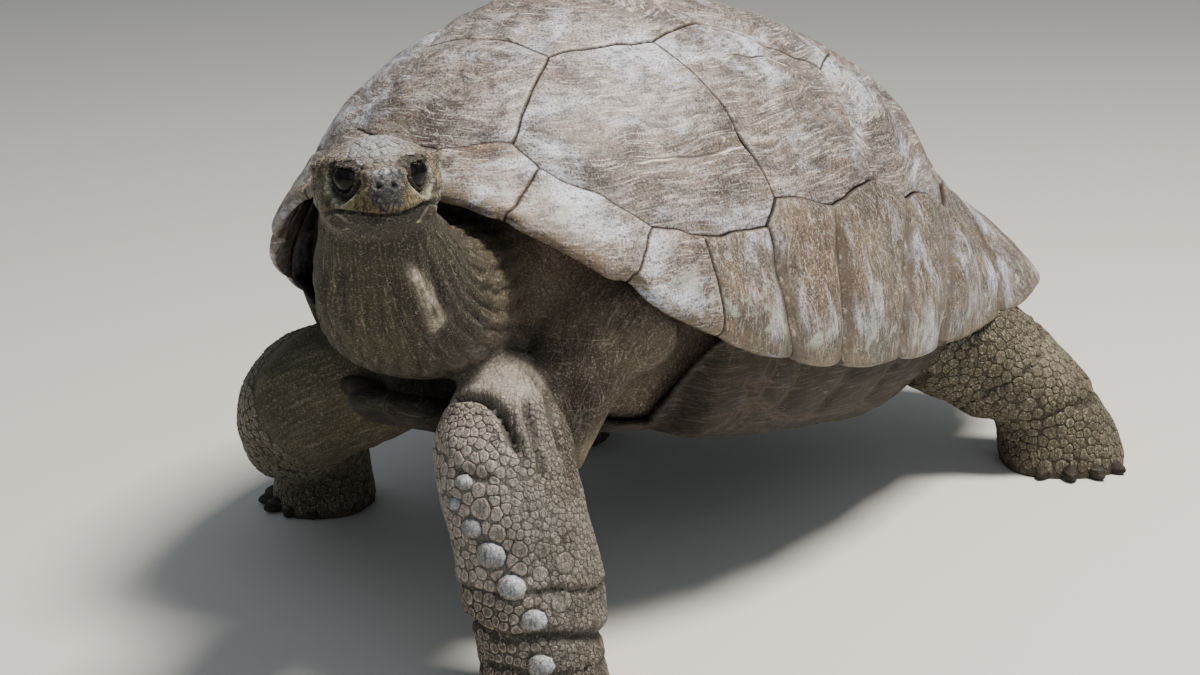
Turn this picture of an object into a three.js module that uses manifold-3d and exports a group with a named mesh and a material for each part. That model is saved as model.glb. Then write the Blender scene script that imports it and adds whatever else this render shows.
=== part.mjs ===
// A giant tortoise at life size, walking, with its neck raised and turned to its left.
// Millimetres, +Z up. The animal faces -Y and its left side is +X. It stands on Z = 0.
import * as THREE from "three";
import { mergeVertices } from "three/addons/utils/BufferGeometryUtils.js";
import Module from "manifold-3d";

const wasm = await Module();
wasm.setup();

// ---------------------------------------------------------------- driving dimensions

// The carapace is a dome over a unit disk: reach 0 is its top and reach 1 its rim.
const SHELL = {
  length: 1098, // between the front and rear rim, without the flares
  width: 782,
  top: 480, // height of the dome over the rim at mid-side
  frontRim: 225, // how far the rim rises over the neck
  frontRimPower: 4.4,
  rearRim: 120, // how far it rises over the tail
  rearRimPower: 3.44,
  topShift: -105, // the highest point lies ahead of the middle
  frontFlare: 0.065,
  rearFlare: 0.019,
  hipFlare: 0.4, // the marginals over the hind legs spread outwards
  hipFlareAngle: 155,
  hipFlareSpread: 30,
  hipFlareRise: 21,
};
const NOSE_UP = 10.5; // the whole shell is pitched up in front, degrees
const RIM_HEIGHT = 270; // of the rim at mid-side over the floor
const MID_SHIFT = { x: 12, y: -37 }; // from the shell's middle to the middle of the whole animal

const SCUTE = { thick: 14, seam: 2.6 }; // horn and the bone under it; width of a seam
const BODY_CLEARANCE = 6; // between the scutes and the flesh under them
const CUT_GAP = 0.4; // between two parts of flesh that meet

const PLASTRON = { level: -88, lip: 14, thick: 16, turn: 0.66 };
const EYE = { radius: 18.5, forward: 26.4, aside: 30, up: 17, outward: 55, lids: 15.8 };

// ---------------------------------------------------------------- small helpers

const RAD = Math.PI / 180;
const clamp01 = (v) => Math.min(Math.max(v, 0), 1);
const mix = (a, b, t) => a + (b - a) * t;
const smooth = (t) => t * t * (3 - 2 * t);
const signedPower = (v, power) => Math.sign(v) * Math.abs(v) ** power;
const swell = (angle, power) => ((1 + Math.cos(angle)) / 2) ** power;
const vec = (x, y, z) => new THREE.Vector3(x, y, z);

// A smooth curve through [position, value] pairs, read at one position.
function along(pairs, at) {
  let i = 0;
  while (i < pairs.length - 2 && at > pairs[i + 1][0]) i++;
  const t = clamp01((at - pairs[i][0]) / (pairs[i + 1][0] - pairs[i][0]));
  return mix(pairs[i][1], pairs[i + 1][1], smooth(t));
}

// Tilts a point of the shell nose up, about the middle of the animal.
function pitched(v) {
  return v.applyAxisAngle(vec(1, 0, 0), -NOSE_UP * RAD);
}

// A point pushed inwards from a surface over the disk, square to it.
function pushedIn(surface, p, q, depth) {
  const step = 0.012;
  const here = surface(p, q);
  if (depth === 0) return here;
  const leftwards = surface(p + step, q).sub(surface(p - step, q));
  const rearwards = surface(p, q + step).sub(surface(p, q - step));
  const inward = rearwards.cross(leftwards).normalize();
  return here.addScaledVector(inward, depth);
}

// A closed body from rings of equal length and a pole at each end.
function bodyOfRings(firstPole, rings, lastPole) {
  const count = rings[0].length;
  const points = [firstPole, ...rings.flat(), lastPole];
  const last = points.length - 1;
  const faces = [];
  for (let i = 0; i < count; i++) {
    const j = (i + 1) % count;
    faces.push(0, 1 + j, 1 + i);
    for (let k = 0; k + 1 < rings.length; k++) {
      const a = 1 + k * count;
      const b = a + count;
      faces.push(a + i, a + j, b + j, a + i, b + j, b + i);
    }
    faces.push(last, last - count + i, last - count + j);
  }
  const geometry = new THREE.BufferGeometry();
  geometry.setAttribute("position", new THREE.Float32BufferAttribute(points.flatMap((v) => v.toArray()), 3));
  geometry.setIndex(faces);
  return facingOut(geometry);
}

// Turns the faces round if the body's signed volume says that they point inwards.
function facingOut(geometry) {
  const at = geometry.getAttribute("position");
  const index = geometry.getIndex().array;
  const corner = (i) => new THREE.Vector3().fromBufferAttribute(at, index[i]);
  let volume = 0;
  for (let i = 0; i < index.length; i += 3) {
    volume += corner(i).dot(corner(i + 1).cross(corner(i + 2)));
  }
  if (volume < 0) geometry.setIndex(Array.from(index).reverse());
  return geometry;
}

// ---------------------------------------------------------------- solids that are cut or joined

function solid(geometry) {
  const bare = new THREE.BufferGeometry();
  bare.setAttribute("position", geometry.getAttribute("position").clone());
  bare.setIndex(geometry.getIndex());
  const merged = mergeVertices(bare, 1e-3);
  const vertProperties = new Float32Array(merged.getAttribute("position").array);
  const triVerts = new Uint32Array(merged.getIndex().array);
  return new wasm.Manifold(new wasm.Mesh({ numProp: 3, vertProperties, triVerts }));
}

function geometryOf(manifold) {
  const mesh = manifold.getMesh();
  const geometry = new THREE.BufferGeometry();
  geometry.setAttribute("position", new THREE.Float32BufferAttribute(mesh.vertProperties, 3));
  geometry.setIndex(Array.from(mesh.triVerts));
  return geometry;
}

// The largest piece that is left of a body after its neighbours are cut away.
function cutBy(manifold, cutters) {
  const left = cutters.reduce((body, cutter) => body.subtract(cutter), manifold);
  const pieces = left.decompose().sort((a, b) => b.volume() - a.volume());
  return pieces[0].simplify(0.05);
}

// The same body a little larger, so that what it cuts keeps a gap to it.
function grown(manifold, gap) {
  const box = manifold.boundingBox();
  const middle = [0, 1, 2].map((i) => (box.min[i] + box.max[i]) / 2);
  const half = [0, 1, 2].map((i) => (box.max[i] - box.min[i]) / 2);
  const scale = half.map((h) => (h + gap) / h);
  const back = middle.map((m) => -m);
  return manifold.translate(back).scale(scale).translate(middle);
}

// ---------------------------------------------------------------- carapace surface

function domeShape(p, q) {
  const angle = Math.atan2(Math.abs(p), -q);
  const reach = Math.min(Math.hypot(p, q), 1);
  const front = swell(angle, 2);
  const rear = swell(Math.PI - angle, 2);
  const rim = SHELL.frontRim * swell(angle, SHELL.frontRimPower)
    + SHELL.rearRim * swell(Math.PI - angle, SHELL.rearRimPower);
  const hipTurn = (angle / RAD - SHELL.hipFlareAngle) / SHELL.hipFlareSpread;
  const hip = Math.exp(-(hipTurn ** 2)) * clamp01((reach - 0.7) / 0.3) ** 1.5;
  const edge = clamp01((reach - 0.75) / 0.25) ** 2;
  const flare = 1 + SHELL.hipFlare * hip
    + edge * (SHELL.frontFlare * swell(angle, 1.5) + SHELL.rearFlare * swell(Math.PI - angle, 1.5));
  const outPower = 0.75 + 0.29 * front + 0.067 * rear;
  const upPower = 0.805 + 0.594 * front;
  const out = flare * Math.sin((reach * Math.PI) / 2) ** outPower;
  const up = Math.max(Math.cos((reach * Math.PI) / 2), 0) ** upPower;
  const corner = Math.cos(angle) > 0 ? 0.867 : 0.815;
  const across = Math.sin(angle) ** corner * (1 - 0.048 * Math.cos(angle));
  const x = (SHELL.width / 2) * across * out * Math.sign(p);
  const y = (-SHELL.length / 2) * signedPower(Math.cos(angle), corner) * out + SHELL.topShift * (1 - out);
  const z = rim + (SHELL.top - rim) * up + SHELL.hipFlareRise * hip;
  return vec(x, y, z);
}

const domeSurface = (p, q) => pitched(domeShape(p, q));

// ---------------------------------------------------------------- layout of the scutes

const polar = (degrees, reach) => [reach * Math.sin(degrees * RAD), -reach * Math.cos(degrees * RAD)];

// Marginal seams of the left side: angle at the rim, angle and reach at the inner end.
const MARGINAL_SEAMS = [
  [4, 4, 0.83], [19, 22.5, 0.795], [40.5, 44, 0.818], [57, 53.5, 0.8], [71, 67, 0.757], [82, 83, 0.716],
  [94, 100.5, 0.727], [107, 120, 0.785], [126, 139, 0.81], [147, 152, 0.82], [160, 163, 0.8], [172, 172, 0.79],
].map(([rim, degrees, reach]) => ({ rim, inner: polar(degrees, reach) }));

// Where three of the inner scutes meet, as [leftwards, rearwards] on the disk.
const MEET = {
  v1c1m1: polar(16.7, 0.752),
  c1c2m5: polar(69.7, 0.7),
  c2c3m6: polar(93.4, 0.676),
  c3c4m8: polar(131, 0.76),
  c4v5m10: polar(160, 0.785),
  v1v2c1: [0.144, -0.445],
  v2c1c2: [0.264, -0.225],
  v2v3c2: [0.232, -0.05],
  v3c2c3: [0.402, 0.067],
  v3v4c3: [0.25, 0.26],
  v4c3c4: [0.33, 0.42],
  v4v5c4: [0.19, 0.56],
};
const inner = (number) => MARGINAL_SEAMS[number].inner;
const mirrored = ([p, q]) => [-p, q];
const bothSides = (left) => [...left, ...left.map(mirrored).reverse()];

// The points on the ring between two marginal corners, in order.
const RING = {
  v1: [MEET.v1c1m1],
  c1: [MEET.v1c1m1, inner(1), inner(2), inner(3), inner(4), MEET.c1c2m5],
  c2: [MEET.c1c2m5, inner(5), MEET.c2c3m6],
  c3: [MEET.c2c3m6, inner(6), inner(7), MEET.c3c4m8],
  c4: [MEET.c3c4m8, inner(8), inner(9), MEET.c4v5m10],
  v5: [MEET.c4v5m10, inner(10), inner(11)],
};
const VERTEBRALS = [
  bothSides([inner(0), MEET.v1c1m1, MEET.v1v2c1]),
  bothSides([MEET.v1v2c1, MEET.v2c1c2, MEET.v2v3c2]),
  bothSides([MEET.v2v3c2, MEET.v3c2c3, MEET.v3v4c3]),
  bothSides([MEET.v3v4c3, MEET.v4c3c4, MEET.v4v5c4]),
  bothSides([MEET.v4v5c4, ...RING.v5]),
];
const COSTALS = [
  [...RING.c1, MEET.v2c1c2, MEET.v1v2c1],
  [...RING.c2, MEET.v3c2c3, MEET.v2v3c2, MEET.v2c1c2],
  [...RING.c3, MEET.v4c3c4, MEET.v3v4c3, MEET.v3c2c3],
  [...RING.c4, MEET.v4v5c4, MEET.v4c3c4],
];
// The ring corners that a marginal shares with the costal or vertebral above it.
const MARGINAL_TOPS = [
  [MEET.v1c1m1], [], [], [], [MEET.c1c2m5], [MEET.c2c3m6], [], [MEET.c3c4m8], [], [MEET.c4v5m10], [],
];

// ---------------------------------------------------------------- scutes

// Adds points along straight sides, so that none is longer than a step on the disk.
function divided(corners, step) {
  return corners.flatMap(([p, q], i) => {
    const [p2, q2] = corners[(i + 1) % corners.length];
    const parts = Math.max(1, Math.round(Math.hypot(p2 - p, q2 - q) / step));
    return Array.from({ length: parts }, (_, k) => [mix(p, p2, k / parts), mix(q, q2, k / parts)]);
  });
}

function middleOf(outline) {
  const sum = outline.reduce(([a, b], [p, q]) => [a + p, b + q], [0, 0]);
  return sum.map((v) => v / outline.length);
}

// A curved plate under a patch of the dome, drawn in from its outline by half a seam.
function scute(outline, topRings, bottomRings) {
  const middle = middleOf(outline);
  const heart = domeSurface(...middle);
  const ring = (part, depth) => outline.map(([p, q]) => {
    const span = domeSurface(p, q).distanceTo(heart);
    const share = part * (1 - SCUTE.seam / 2 / span);
    return pushedIn(domeSurface, mix(middle[0], p, share), mix(middle[1], q, share), depth);
  });
  const top = topRings.map((part) => ring(part, 0));
  const bottom = bottomRings.map((part) => ring(part, SCUTE.thick));
  return bodyOfRings(heart, [...top, ...bottom], pushedIn(domeSurface, ...middle, SCUTE.thick));
}

const innerScute = (corners) => scute(divided(corners, 0.13), [0.35, 0.7, 1], [1, 0.6]);

const halfWay = (a, b) => [(a[0] + b[0]) / 2, (a[1] + b[1]) / 2];

// A marginal between two seams: along the rim and back over the ring.
function marginalOutline(seamA, seamB, topCorners) {
  const steps = Math.max(2, Math.round(Math.abs(seamB.rim - seamA.rim) / 7));
  const rim = Array.from({ length: steps + 1 }, (_, i) => polar(mix(seamA.rim, seamB.rim, i / steps), 1));
  return [...rim, halfWay(rim[steps], seamB.inner), seamB.inner, ...[...topCorners].reverse(),
    seamA.inner, halfWay(rim[0], seamA.inner)];
}

const marginalScute = (outline) => scute(outline, [0.55, 1], [1, 0.55]);

// ---------------------------------------------------------------- plastron

// Distance from the middle of the animal to the edge of the plastron's lobes, by true angle.
const LOBES = [
  [0, 555], [5, 552], [9, 500], [16, 470], [27, 385], [42, 330], [90, 330], [135, 345],
  [153, 420], [165, 490], [173, 505], [180, 488],
];
// Where the plastron turns up to meet the carapace, in degrees of the dome.
const BRIDGE = { from: 48, to: 122, ramp: 12, inset: 0.965, drop: 6 };

const bridgeAt = (degrees) => smooth(clamp01((degrees - BRIDGE.from) / BRIDGE.ramp))
  * smooth(clamp01((BRIDGE.to - degrees) / BRIDGE.ramp));

function plastronSurface(p, q) {
  const angle = Math.atan2(Math.abs(p), -q);
  const reach = Math.hypot(p, q);
  const rim = domeShape(Math.sin(angle), -Math.cos(angle));
  const trueAngle = Math.atan2(Math.abs(rim.x), -rim.y);
  const bridge = bridgeAt(angle / RAD);
  const edge = mix(along(LOBES, trueAngle / RAD), BRIDGE.inset * Math.hypot(rim.x, rim.y), bridge);
  const top = mix(PLASTRON.level + PLASTRON.lip, rim.z - BRIDGE.drop, bridge);
  const turn = clamp01((reach - PLASTRON.turn) / (1 - PLASTRON.turn));
  const z = mix(PLASTRON.level, top, turn ** 2.2);
  return pitched(vec(Math.sign(p) * Math.sin(trueAngle) * edge * reach, -Math.cos(trueAngle) * edge * reach, z));
}

const PLASTRON_SIDES = 36;
function plastronRing(reach, height) {
  return Array.from({ length: PLASTRON_SIDES }, (_, i) => {
    const [p, q] = polar((i + 0.5) * (360 / PLASTRON_SIDES), reach);
    return pushedIn(plastronSurface, p, q, -height);
  });
}

const PLASTRON_RINGS = [0.4, 0.7, 0.85, 1];
function plastronBody(under, over, rings) {
  const floor = rings.map((reach) => plastronRing(reach, under));
  const lining = [...rings].reverse().map((reach) => plastronRing(reach, over));
  return bodyOfRings(pushedIn(plastronSurface, 0, 0, -under), [...floor, ...lining],
    pushedIn(plastronSurface, 0, 0, -over));
}

// ---------------------------------------------------------------- flesh

// How far out under the carapace the body fills it, and how far out over the plastron.
const FILL_DOME = [[0, 0.6], [30, 0.66], [52, 0.8], [64, 0.94], [110, 0.94], [125, 0.82], [150, 0.72], [180, 0.72]];
const FILL_FLOOR = [[0, 0.8], [35, 0.86], [64, 0.93], [115, 0.93], [140, 0.9], [180, 0.86]];
const TRUNK_SIDES = 36;
const BULGE = 34; // how far the skin of the shell's openings swells out

function trunkBody() {
  const depth = SCUTE.thick + BODY_CLEARANCE;
  const lift = PLASTRON.thick + BODY_CLEARANCE;
  const angles = Array.from({ length: TRUNK_SIDES }, (_, i) => (i + 0.5) * (360 / TRUNK_SIDES));
  const folded = (degrees) => (degrees > 180 ? 360 - degrees : degrees);
  const under = (share) => angles.map((degrees) => {
    const reach = along(FILL_DOME, folded(degrees)) * share;
    return pushedIn(domeSurface, ...polar(degrees, reach), depth);
  });
  const over = (share) => angles.map((degrees) => {
    const reach = along(FILL_FLOOR, folded(degrees)) * share;
    return pushedIn(plastronSurface, ...polar(degrees, reach), -lift);
  });
  const high = under(1);
  const low = over(1);
  const between = (t) => high.map((v, i) => {
    const open = 1 - bridgeAt(folded(angles[i]));
    const outward = vec(v.x, v.y, 0).normalize().multiplyScalar(BULGE * open * Math.sin(t * Math.PI));
    return v.clone().lerp(low[i], t).add(outward);
  });
  const rings = [under(0.3), under(0.6), under(0.85), high, between(0.33), between(0.67), low, over(0.5)];
  return bodyOfRings(pushedIn(domeSurface, 0, 0, depth), rings, pushedIn(plastronSurface, 0, 0, -lift));
}

// A limb: stations of centre, half width, half depth and the turn of its section.
// Its rings stand square to the line through the centres, and the last one may lie flat.
function limb(stations, sides, ringsPerSpan, widthAxis) {
  const centres = new THREE.CatmullRomCurve3(stations.map((s) => vec(...s.at)), false, "centripetal");
  const spans = stations.length - 1;
  const total = spans * ringsPerSpan;
  const rings = Array.from({ length: total + 1 }, (_, k) => {
    const t = k / total;
    const span = Math.min(Math.floor(t * spans), spans - 1);
    const local = smooth(t * spans - span);
    const wide = mix(stations[span].wide, stations[span + 1].wide, local);
    const deep = mix(stations[span].deep, stations[span + 1].deep, local);
    const flat = mix(stations[span].flat ?? 0, stations[span + 1].flat ?? 0, local);
    const forward = centres.getTangent(t).lerp(vec(0, 0, -1), flat).normalize();
    const aside = vec(...widthAxis).addScaledVector(forward, -forward.dot(vec(...widthAxis))).normalize();
    const front = forward.clone().cross(aside);
    return Array.from({ length: sides }, (__, i) => {
      const turn = (i / sides) * 2 * Math.PI;
      return centres.getPoint(t)
        .addScaledVector(aside, wide * signedPower(Math.cos(turn), 0.9))
        .addScaledVector(front, deep * signedPower(Math.sin(turn), 0.9));
    });
  });
  const first = vec(...stations[0].at);
  const last = vec(...stations[spans].at);
  return bodyOfRings(first, rings, last);
}

// A leg's foot is a short drum on the floor, and its claws stick out in front of it.
const SOLE = -RIM_HEIGHT;
const LEGS = {
  foreleg_left: {
    widthAxis: [0.86, 0.51, 0],
    stations: [
      { at: [86, -358, 30], wide: 60, deep: 72 },
      { at: [120, -470, 40], wide: 60, deep: 76 },
      { at: [171, -553, 6], wide: 82, deep: 82 },
      { at: [205, -564, -100], wide: 85, deep: 76, flat: 1 },
      { at: [226, -572, -205], wide: 75, deep: 66, flat: 1 },
      { at: [234, -577, SOLE], wide: 80, deep: 74, flat: 1 },
    ],
    heading: 18,
    claws: 5,
  },
  foreleg_right: {
    widthAxis: [0.5, -0.86, 0],
    stations: [
      { at: [-120, -350, 36], wide: 88, deep: 82 },
      { at: [-225, -375, -8], wide: 94, deep: 86 },
      { at: [-320, -300, -64], wide: 98, deep: 82 },
      { at: [-388, -200, -135], wide: 90, deep: 76, flat: 0.6 },
      { at: [-424, -125, -215], wide: 80, deep: 68, flat: 1 },
      { at: [-434, -110, SOLE], wide: 84, deep: 74, flat: 1 },
    ],
    heading: -25,
    claws: 5,
  },
  hindleg_left: {
    widthAxis: [0.5, -0.86, 0],
    stations: [
      { at: [190, 360, 0], wide: 110, deep: 95 },
      { at: [275, 440, -50], wide: 108, deep: 92 },
      { at: [360, 505, -120], wide: 96, deep: 88, flat: 0.3 },
      { at: [428, 552, -200], wide: 88, deep: 88, flat: 1 },
      { at: [444, 562, SOLE], wide: 92, deep: 92, flat: 1 },
    ],
    heading: 40,
    claws: 4,
  },
  hindleg_right: {
    widthAxis: [0.86, 0.5, 0],
    stations: [
      { at: [-190, 350, 0], wide: 110, deep: 95 },
      { at: [-250, 370, -50], wide: 108, deep: 95 },
      { at: [-290, 350, -130], wide: 96, deep: 90, flat: 0.6 },
      { at: [-305, 325, -200], wide: 86, deep: 86, flat: 1 },
      { at: [-308, 318, SOLE], wide: 90, deep: 90, flat: 1 },
    ],
    heading: -12,
    claws: 4,
  },
};
const CLAW = { long: 34, wide: 11, high: 12, spread: 24 };

// A blunt claw lying on the floor: a cone whose base is buried in the foot.
function claw(foot, heading) {
  const away = vec(Math.sin(heading * RAD), -Math.cos(heading * RAD), 0);
  const reach = mix(foot.deep, foot.wide, 0.5) - 12;
  const cone = new THREE.ConeGeometry(CLAW.high, CLAW.long, 7);
  cone.scale(CLAW.wide / CLAW.high, 1, 1);
  cone.rotateZ(Math.atan2(away.y, away.x) - Math.PI / 2);
  const place = vec(...foot.at).addScaledVector(away, reach + CLAW.long / 2);
  cone.translate(place.x, place.y, SOLE + CLAW.high);
  cone.deleteAttribute("normal");
  cone.deleteAttribute("uv");
  return solid(mergeVertices(cone, 1e-3));
}

function legSolid({ stations, widthAxis, heading, claws }) {
  const foot = stations[stations.length - 1];
  const leg = solid(limb(stations, 18, 2, widthAxis));
  const nails = Array.from({ length: claws }, (_, i) => claw(foot, heading + (i - (claws - 1) / 2) * CLAW.spread));
  return nails.reduce((body, nail) => body.add(nail), leg);
}

const NECK = [
  { at: [10, -380, 160], wide: 115, deep: 105 },
  { at: [34, -500, 180], wide: 110, deep: 98 },
  { at: [76, -610, 208], wide: 100, deep: 90 },
  { at: [118, -695, 262], wide: 84, deep: 82 },
  { at: [148, -754, 330], wide: 64, deep: 62 },
  { at: [165, -775, 375], wide: 50, deep: 48 },
];
const TAIL = [
  { at: [0, 460, 0], wide: 66, deep: 52 },
  { at: [4, 560, -40], wide: 50, deep: 42 },
  { at: [14, 612, -100], wide: 34, deep: 30 },
  { at: [30, 622, -150], wide: 20, deep: 18 },
  { at: [36, 622, -168], wide: 10, deep: 10 },
];

// ---------------------------------------------------------------- head

const HEAD = {
  at: [184.6, -798.4, 381], // the middle of the skull
  heading: 42, // degrees from -Y towards +X
  noseUp: 5,
  tilt: 2, // its left side is a little higher
};
// Sections from the nape to the beak: place along the head, half width at the cheeks,
// height of the crown and depth of the chin.
const SKULL = [
  { f: -80, wide: 30, up: 24, down: 30 },
  { f: -68, wide: 50, up: 39, down: 42 },
  { f: -42, wide: 64, up: 50, down: 49 },
  { f: -14, wide: 65, up: 53, down: 49 },
  { f: 12, wide: 58, up: 50, down: 47 },
  { f: 34, wide: 47, up: 40, down: 44 },
  { f: 53, wide: 36, up: 28, down: 40 },
  { f: 68, wide: 26, up: 19, down: 34 },
  { f: 76, wide: 13, up: 9, down: 27 },
];
const SQUARE = { crown: 0.9, jaw: 0.7 };

function headFrame() {
  const frame = new THREE.Matrix4();
  const facing = new THREE.Euler(-HEAD.noseUp * RAD, -HEAD.tilt * RAD, HEAD.heading * RAD, "ZXY");
  frame.makeRotationFromEuler(facing);
  frame.setPosition(...HEAD.at);
  return frame;
}
// Head coordinates are sideways (the animal's left), forwards and up.
const inHead = (side, forward, up) => vec(side, -forward, up).applyMatrix4(headFrame());

function headBody() {
  const sides = 20;
  const rings = SKULL.map((s) => Array.from({ length: sides }, (_, i) => {
    const turn = (i / sides) * 2 * Math.PI;
    const over = Math.sin(turn) > 0;
    const square = over ? SQUARE.crown : SQUARE.jaw;
    const side = s.wide * signedPower(Math.cos(turn), square);
    return inHead(side, s.f, (over ? s.up : s.down) * signedPower(Math.sin(turn), square));
  }));
  const first = SKULL[0];
  const last = SKULL[SKULL.length - 1];
  return bodyOfRings(inHead(0, first.f - 4, 0), rings, inHead(0, last.f + 3, (last.up - last.down) / 2));
}

// A ball at the eye, or further out along the way the eye looks.
function eyeball(side, radius, out = 0) {
  const ball = new THREE.SphereGeometry(radius, 12, 7);
  ball.deleteAttribute("normal");
  ball.deleteAttribute("uv");
  const aside = EYE.aside + out * Math.sin(EYE.outward * RAD);
  const centre = inHead(side * aside, EYE.forward + out * Math.cos(EYE.outward * RAD), EYE.up);
  ball.translate(centre.x, centre.y, centre.z);
  return mergeVertices(ball, 1e-3);
}

// ---------------------------------------------------------------- materials

const finish = (color, roughness) => new THREE.MeshStandardMaterial({ color, roughness, metalness: 0 });
const shellHorn = () => finish(0x75695f, 0.7);
const rimHorn = () => finish(0x7a6a5e, 0.7);
const belly = () => finish(0x6d5746, 0.75);
const skin = () => finish(0x5a5146, 0.85);
const headSkin = () => finish(0x6e6552, 0.8);
const eyeGloss = () => finish(0x14100c, 0.15);

// ---------------------------------------------------------------- the animal

const tortoise = new THREE.Group();
tortoise.position.set(-MID_SHIFT.x, -MID_SHIFT.y, RIM_HEIGHT);

function put(name, geometry, material) {
  const mesh = new THREE.Mesh(geometry, material);
  mesh.name = name;
  tortoise.add(mesh);
}

VERTEBRALS.forEach((corners, i) => put(`vertebral_${i + 1}`, innerScute(corners), shellHorn()));
COSTALS.forEach((corners, i) => {
  put(`costal_left_${i + 1}`, innerScute(corners), shellHorn());
  put(`costal_right_${i + 1}`, innerScute(corners.map(mirrored)), shellHorn());
});
MARGINAL_TOPS.forEach((tops, i) => {
  const outline = marginalOutline(MARGINAL_SEAMS[i], MARGINAL_SEAMS[i + 1], tops);
  put(`marginal_left_${i + 1}`, marginalScute(outline), rimHorn());
  put(`marginal_right_${i + 1}`, marginalScute(outline.map(mirrored)), rimHorn());
});
const acrossMiddle = (from, to, seam) => marginalOutline(
  { rim: from, inner: from < 0 ? mirrored(inner(seam)) : inner(seam) },
  { rim: to, inner: from < 0 ? inner(seam) : mirrored(inner(seam)) }, []);
put("nuchal", marginalScute(acrossMiddle(-4, 4, 0)), rimHorn());
put("supracaudal", marginalScute(acrossMiddle(172, 188, 11)), rimHorn());
put("plastron", plastronBody(0, PLASTRON.thick, PLASTRON_RINGS), belly());

// The spaces that the shell takes up, so that no flesh runs into it.
const DOME_RINGS = [0.25, 0.5, 0.7, 0.85, 0.95, 1];
function domeSpace(outside, inside) {
  const ring = (reach, depth) => Array.from({ length: 48 }, (_, i) =>
    pushedIn(domeSurface, ...polar((i + 0.5) * 7.5, reach), depth));
  const outer = DOME_RINGS.map((reach) => ring(reach, outside));
  const lining = [...DOME_RINGS].reverse().map((reach) => ring(reach, inside));
  return solid(bodyOfRings(pushedIn(domeSurface, 0, 0, outside), [...outer, ...lining],
    pushedIn(domeSurface, 0, 0, inside)));
}
const shellSpace = domeSpace(-12, SCUTE.thick + 2);
const plastronSpace = solid(plastronBody(-3, PLASTRON.thick + 2, [...PLASTRON_RINGS, 1.02]));

const trunk = cutBy(solid(trunkBody()), [shellSpace, plastronSpace]);
const trunkSpace = grown(trunk, CUT_GAP);
put("trunk", geometryOf(trunk), skin());

for (const [name, leg] of Object.entries(LEGS)) {
  put(name, geometryOf(cutBy(legSolid(leg), [trunkSpace, shellSpace, plastronSpace])), skin());
}

const eyes = { eye_left: 1, eye_right: -1 };
const sockets = Object.values(eyes).flatMap((side) => [
  solid(eyeball(side, EYE.radius + CUT_GAP)),
  solid(eyeball(side, EYE.lids, EYE.lids)),
]);
const head = cutBy(solid(headBody()), sockets);
put("head", geometryOf(head), headSkin());
const forelegs = [LEGS.foreleg_left, LEGS.foreleg_right].map((leg) => grown(legSolid(leg), CUT_GAP));
const neck = cutBy(solid(limb(NECK, 20, 2, [1, 0.3, 0])),
  [trunkSpace, shellSpace, plastronSpace, grown(solid(headBody()), CUT_GAP), ...forelegs]);
put("neck", geometryOf(neck), skin());
for (const [name, side] of Object.entries(eyes)) put(name, eyeball(side, EYE.radius), eyeGloss());
put("tail", geometryOf(cutBy(solid(limb(TAIL, 12, 2, [1, 0, 0])), [trunkSpace, shellSpace, plastronSpace])), skin());

export default tortoise;
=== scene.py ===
# %% [markdown]
# # A giant tortoise in mid-stride, life size
# The animal is a very old, very large male. It is built from five sorts of pieces: the horn
# plates of its shell, the plates under its belly, one skin for everything soft, horny scales
# that sit on that skin, and small hard pieces such as eyes and claws; the beak is shaped in the skin.
# The measured solid model is loaded first. It fixes every size, and each new piece then stands
# for one or more of its nodes.

# %% Load the measured model
import math
import bpy
import numpy as np
from mathutils import Matrix, Vector, kdtree
from mathutils.bvhtree import BVHTree


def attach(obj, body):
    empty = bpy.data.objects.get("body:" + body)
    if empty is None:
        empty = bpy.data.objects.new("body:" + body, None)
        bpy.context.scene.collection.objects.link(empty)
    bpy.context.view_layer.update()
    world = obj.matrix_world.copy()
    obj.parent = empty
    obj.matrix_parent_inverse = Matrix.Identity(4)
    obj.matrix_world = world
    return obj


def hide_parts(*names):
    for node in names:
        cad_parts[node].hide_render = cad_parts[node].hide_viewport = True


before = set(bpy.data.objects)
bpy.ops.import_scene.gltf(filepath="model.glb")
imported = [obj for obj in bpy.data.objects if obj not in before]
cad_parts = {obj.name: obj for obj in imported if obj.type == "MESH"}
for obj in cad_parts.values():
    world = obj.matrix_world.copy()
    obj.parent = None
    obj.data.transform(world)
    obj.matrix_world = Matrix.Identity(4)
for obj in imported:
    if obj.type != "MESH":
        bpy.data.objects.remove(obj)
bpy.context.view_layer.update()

# %% [markdown]
# ## Helpers
# Positions are worked out in millimetres about the middle of the shell, because the plates are
# laid out there, and are put on the floor in metres at the very end. `set_points` writes such
# positions to a mesh.

# %% Helpers for selecting, placing and reading points
SHELL_STANDS_AT = np.array([-12.0, 37.0, 270.0])


def on_floor(points):
    return (np.asarray(points, dtype=float) + SHELL_STANDS_AT) * 0.001


def about_shell(points):
    return np.asarray(points, dtype=float) * 1000 - SHELL_STANDS_AT


def pick(obj):
    bpy.ops.object.select_all(action="DESELECT")
    obj.select_set(True)
    bpy.context.view_layer.objects.active = obj


def points_of(obj):
    flat = np.empty(len(obj.data.vertices) * 3)
    obj.data.vertices.foreach_get("co", flat)
    return flat.reshape(-1, 3)


def normals_of(obj):
    flat = np.empty(len(obj.data.vertices) * 3)
    obj.data.vertex_normals.foreach_get("vector", flat)
    return flat.reshape(-1, 3)


def set_points(obj, points):
    obj.data.vertices.foreach_set("co", np.ascontiguousarray(points).ravel())
    obj.data.update()


def note_on(obj, name, values):
    layer = obj.data.attributes.get(name) or obj.data.attributes.new(name, "FLOAT", "POINT")
    layer.data.foreach_set("value", np.ascontiguousarray(values, dtype=np.float32))


def apply_all(obj):
    pick(obj)
    for modifier in list(obj.modifiers):
        bpy.ops.object.modifier_apply(modifier=modifier.name)


def smoothly(t):
    t = np.clip(t, 0, 1)
    return t * t * (3 - 2 * t)


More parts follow.
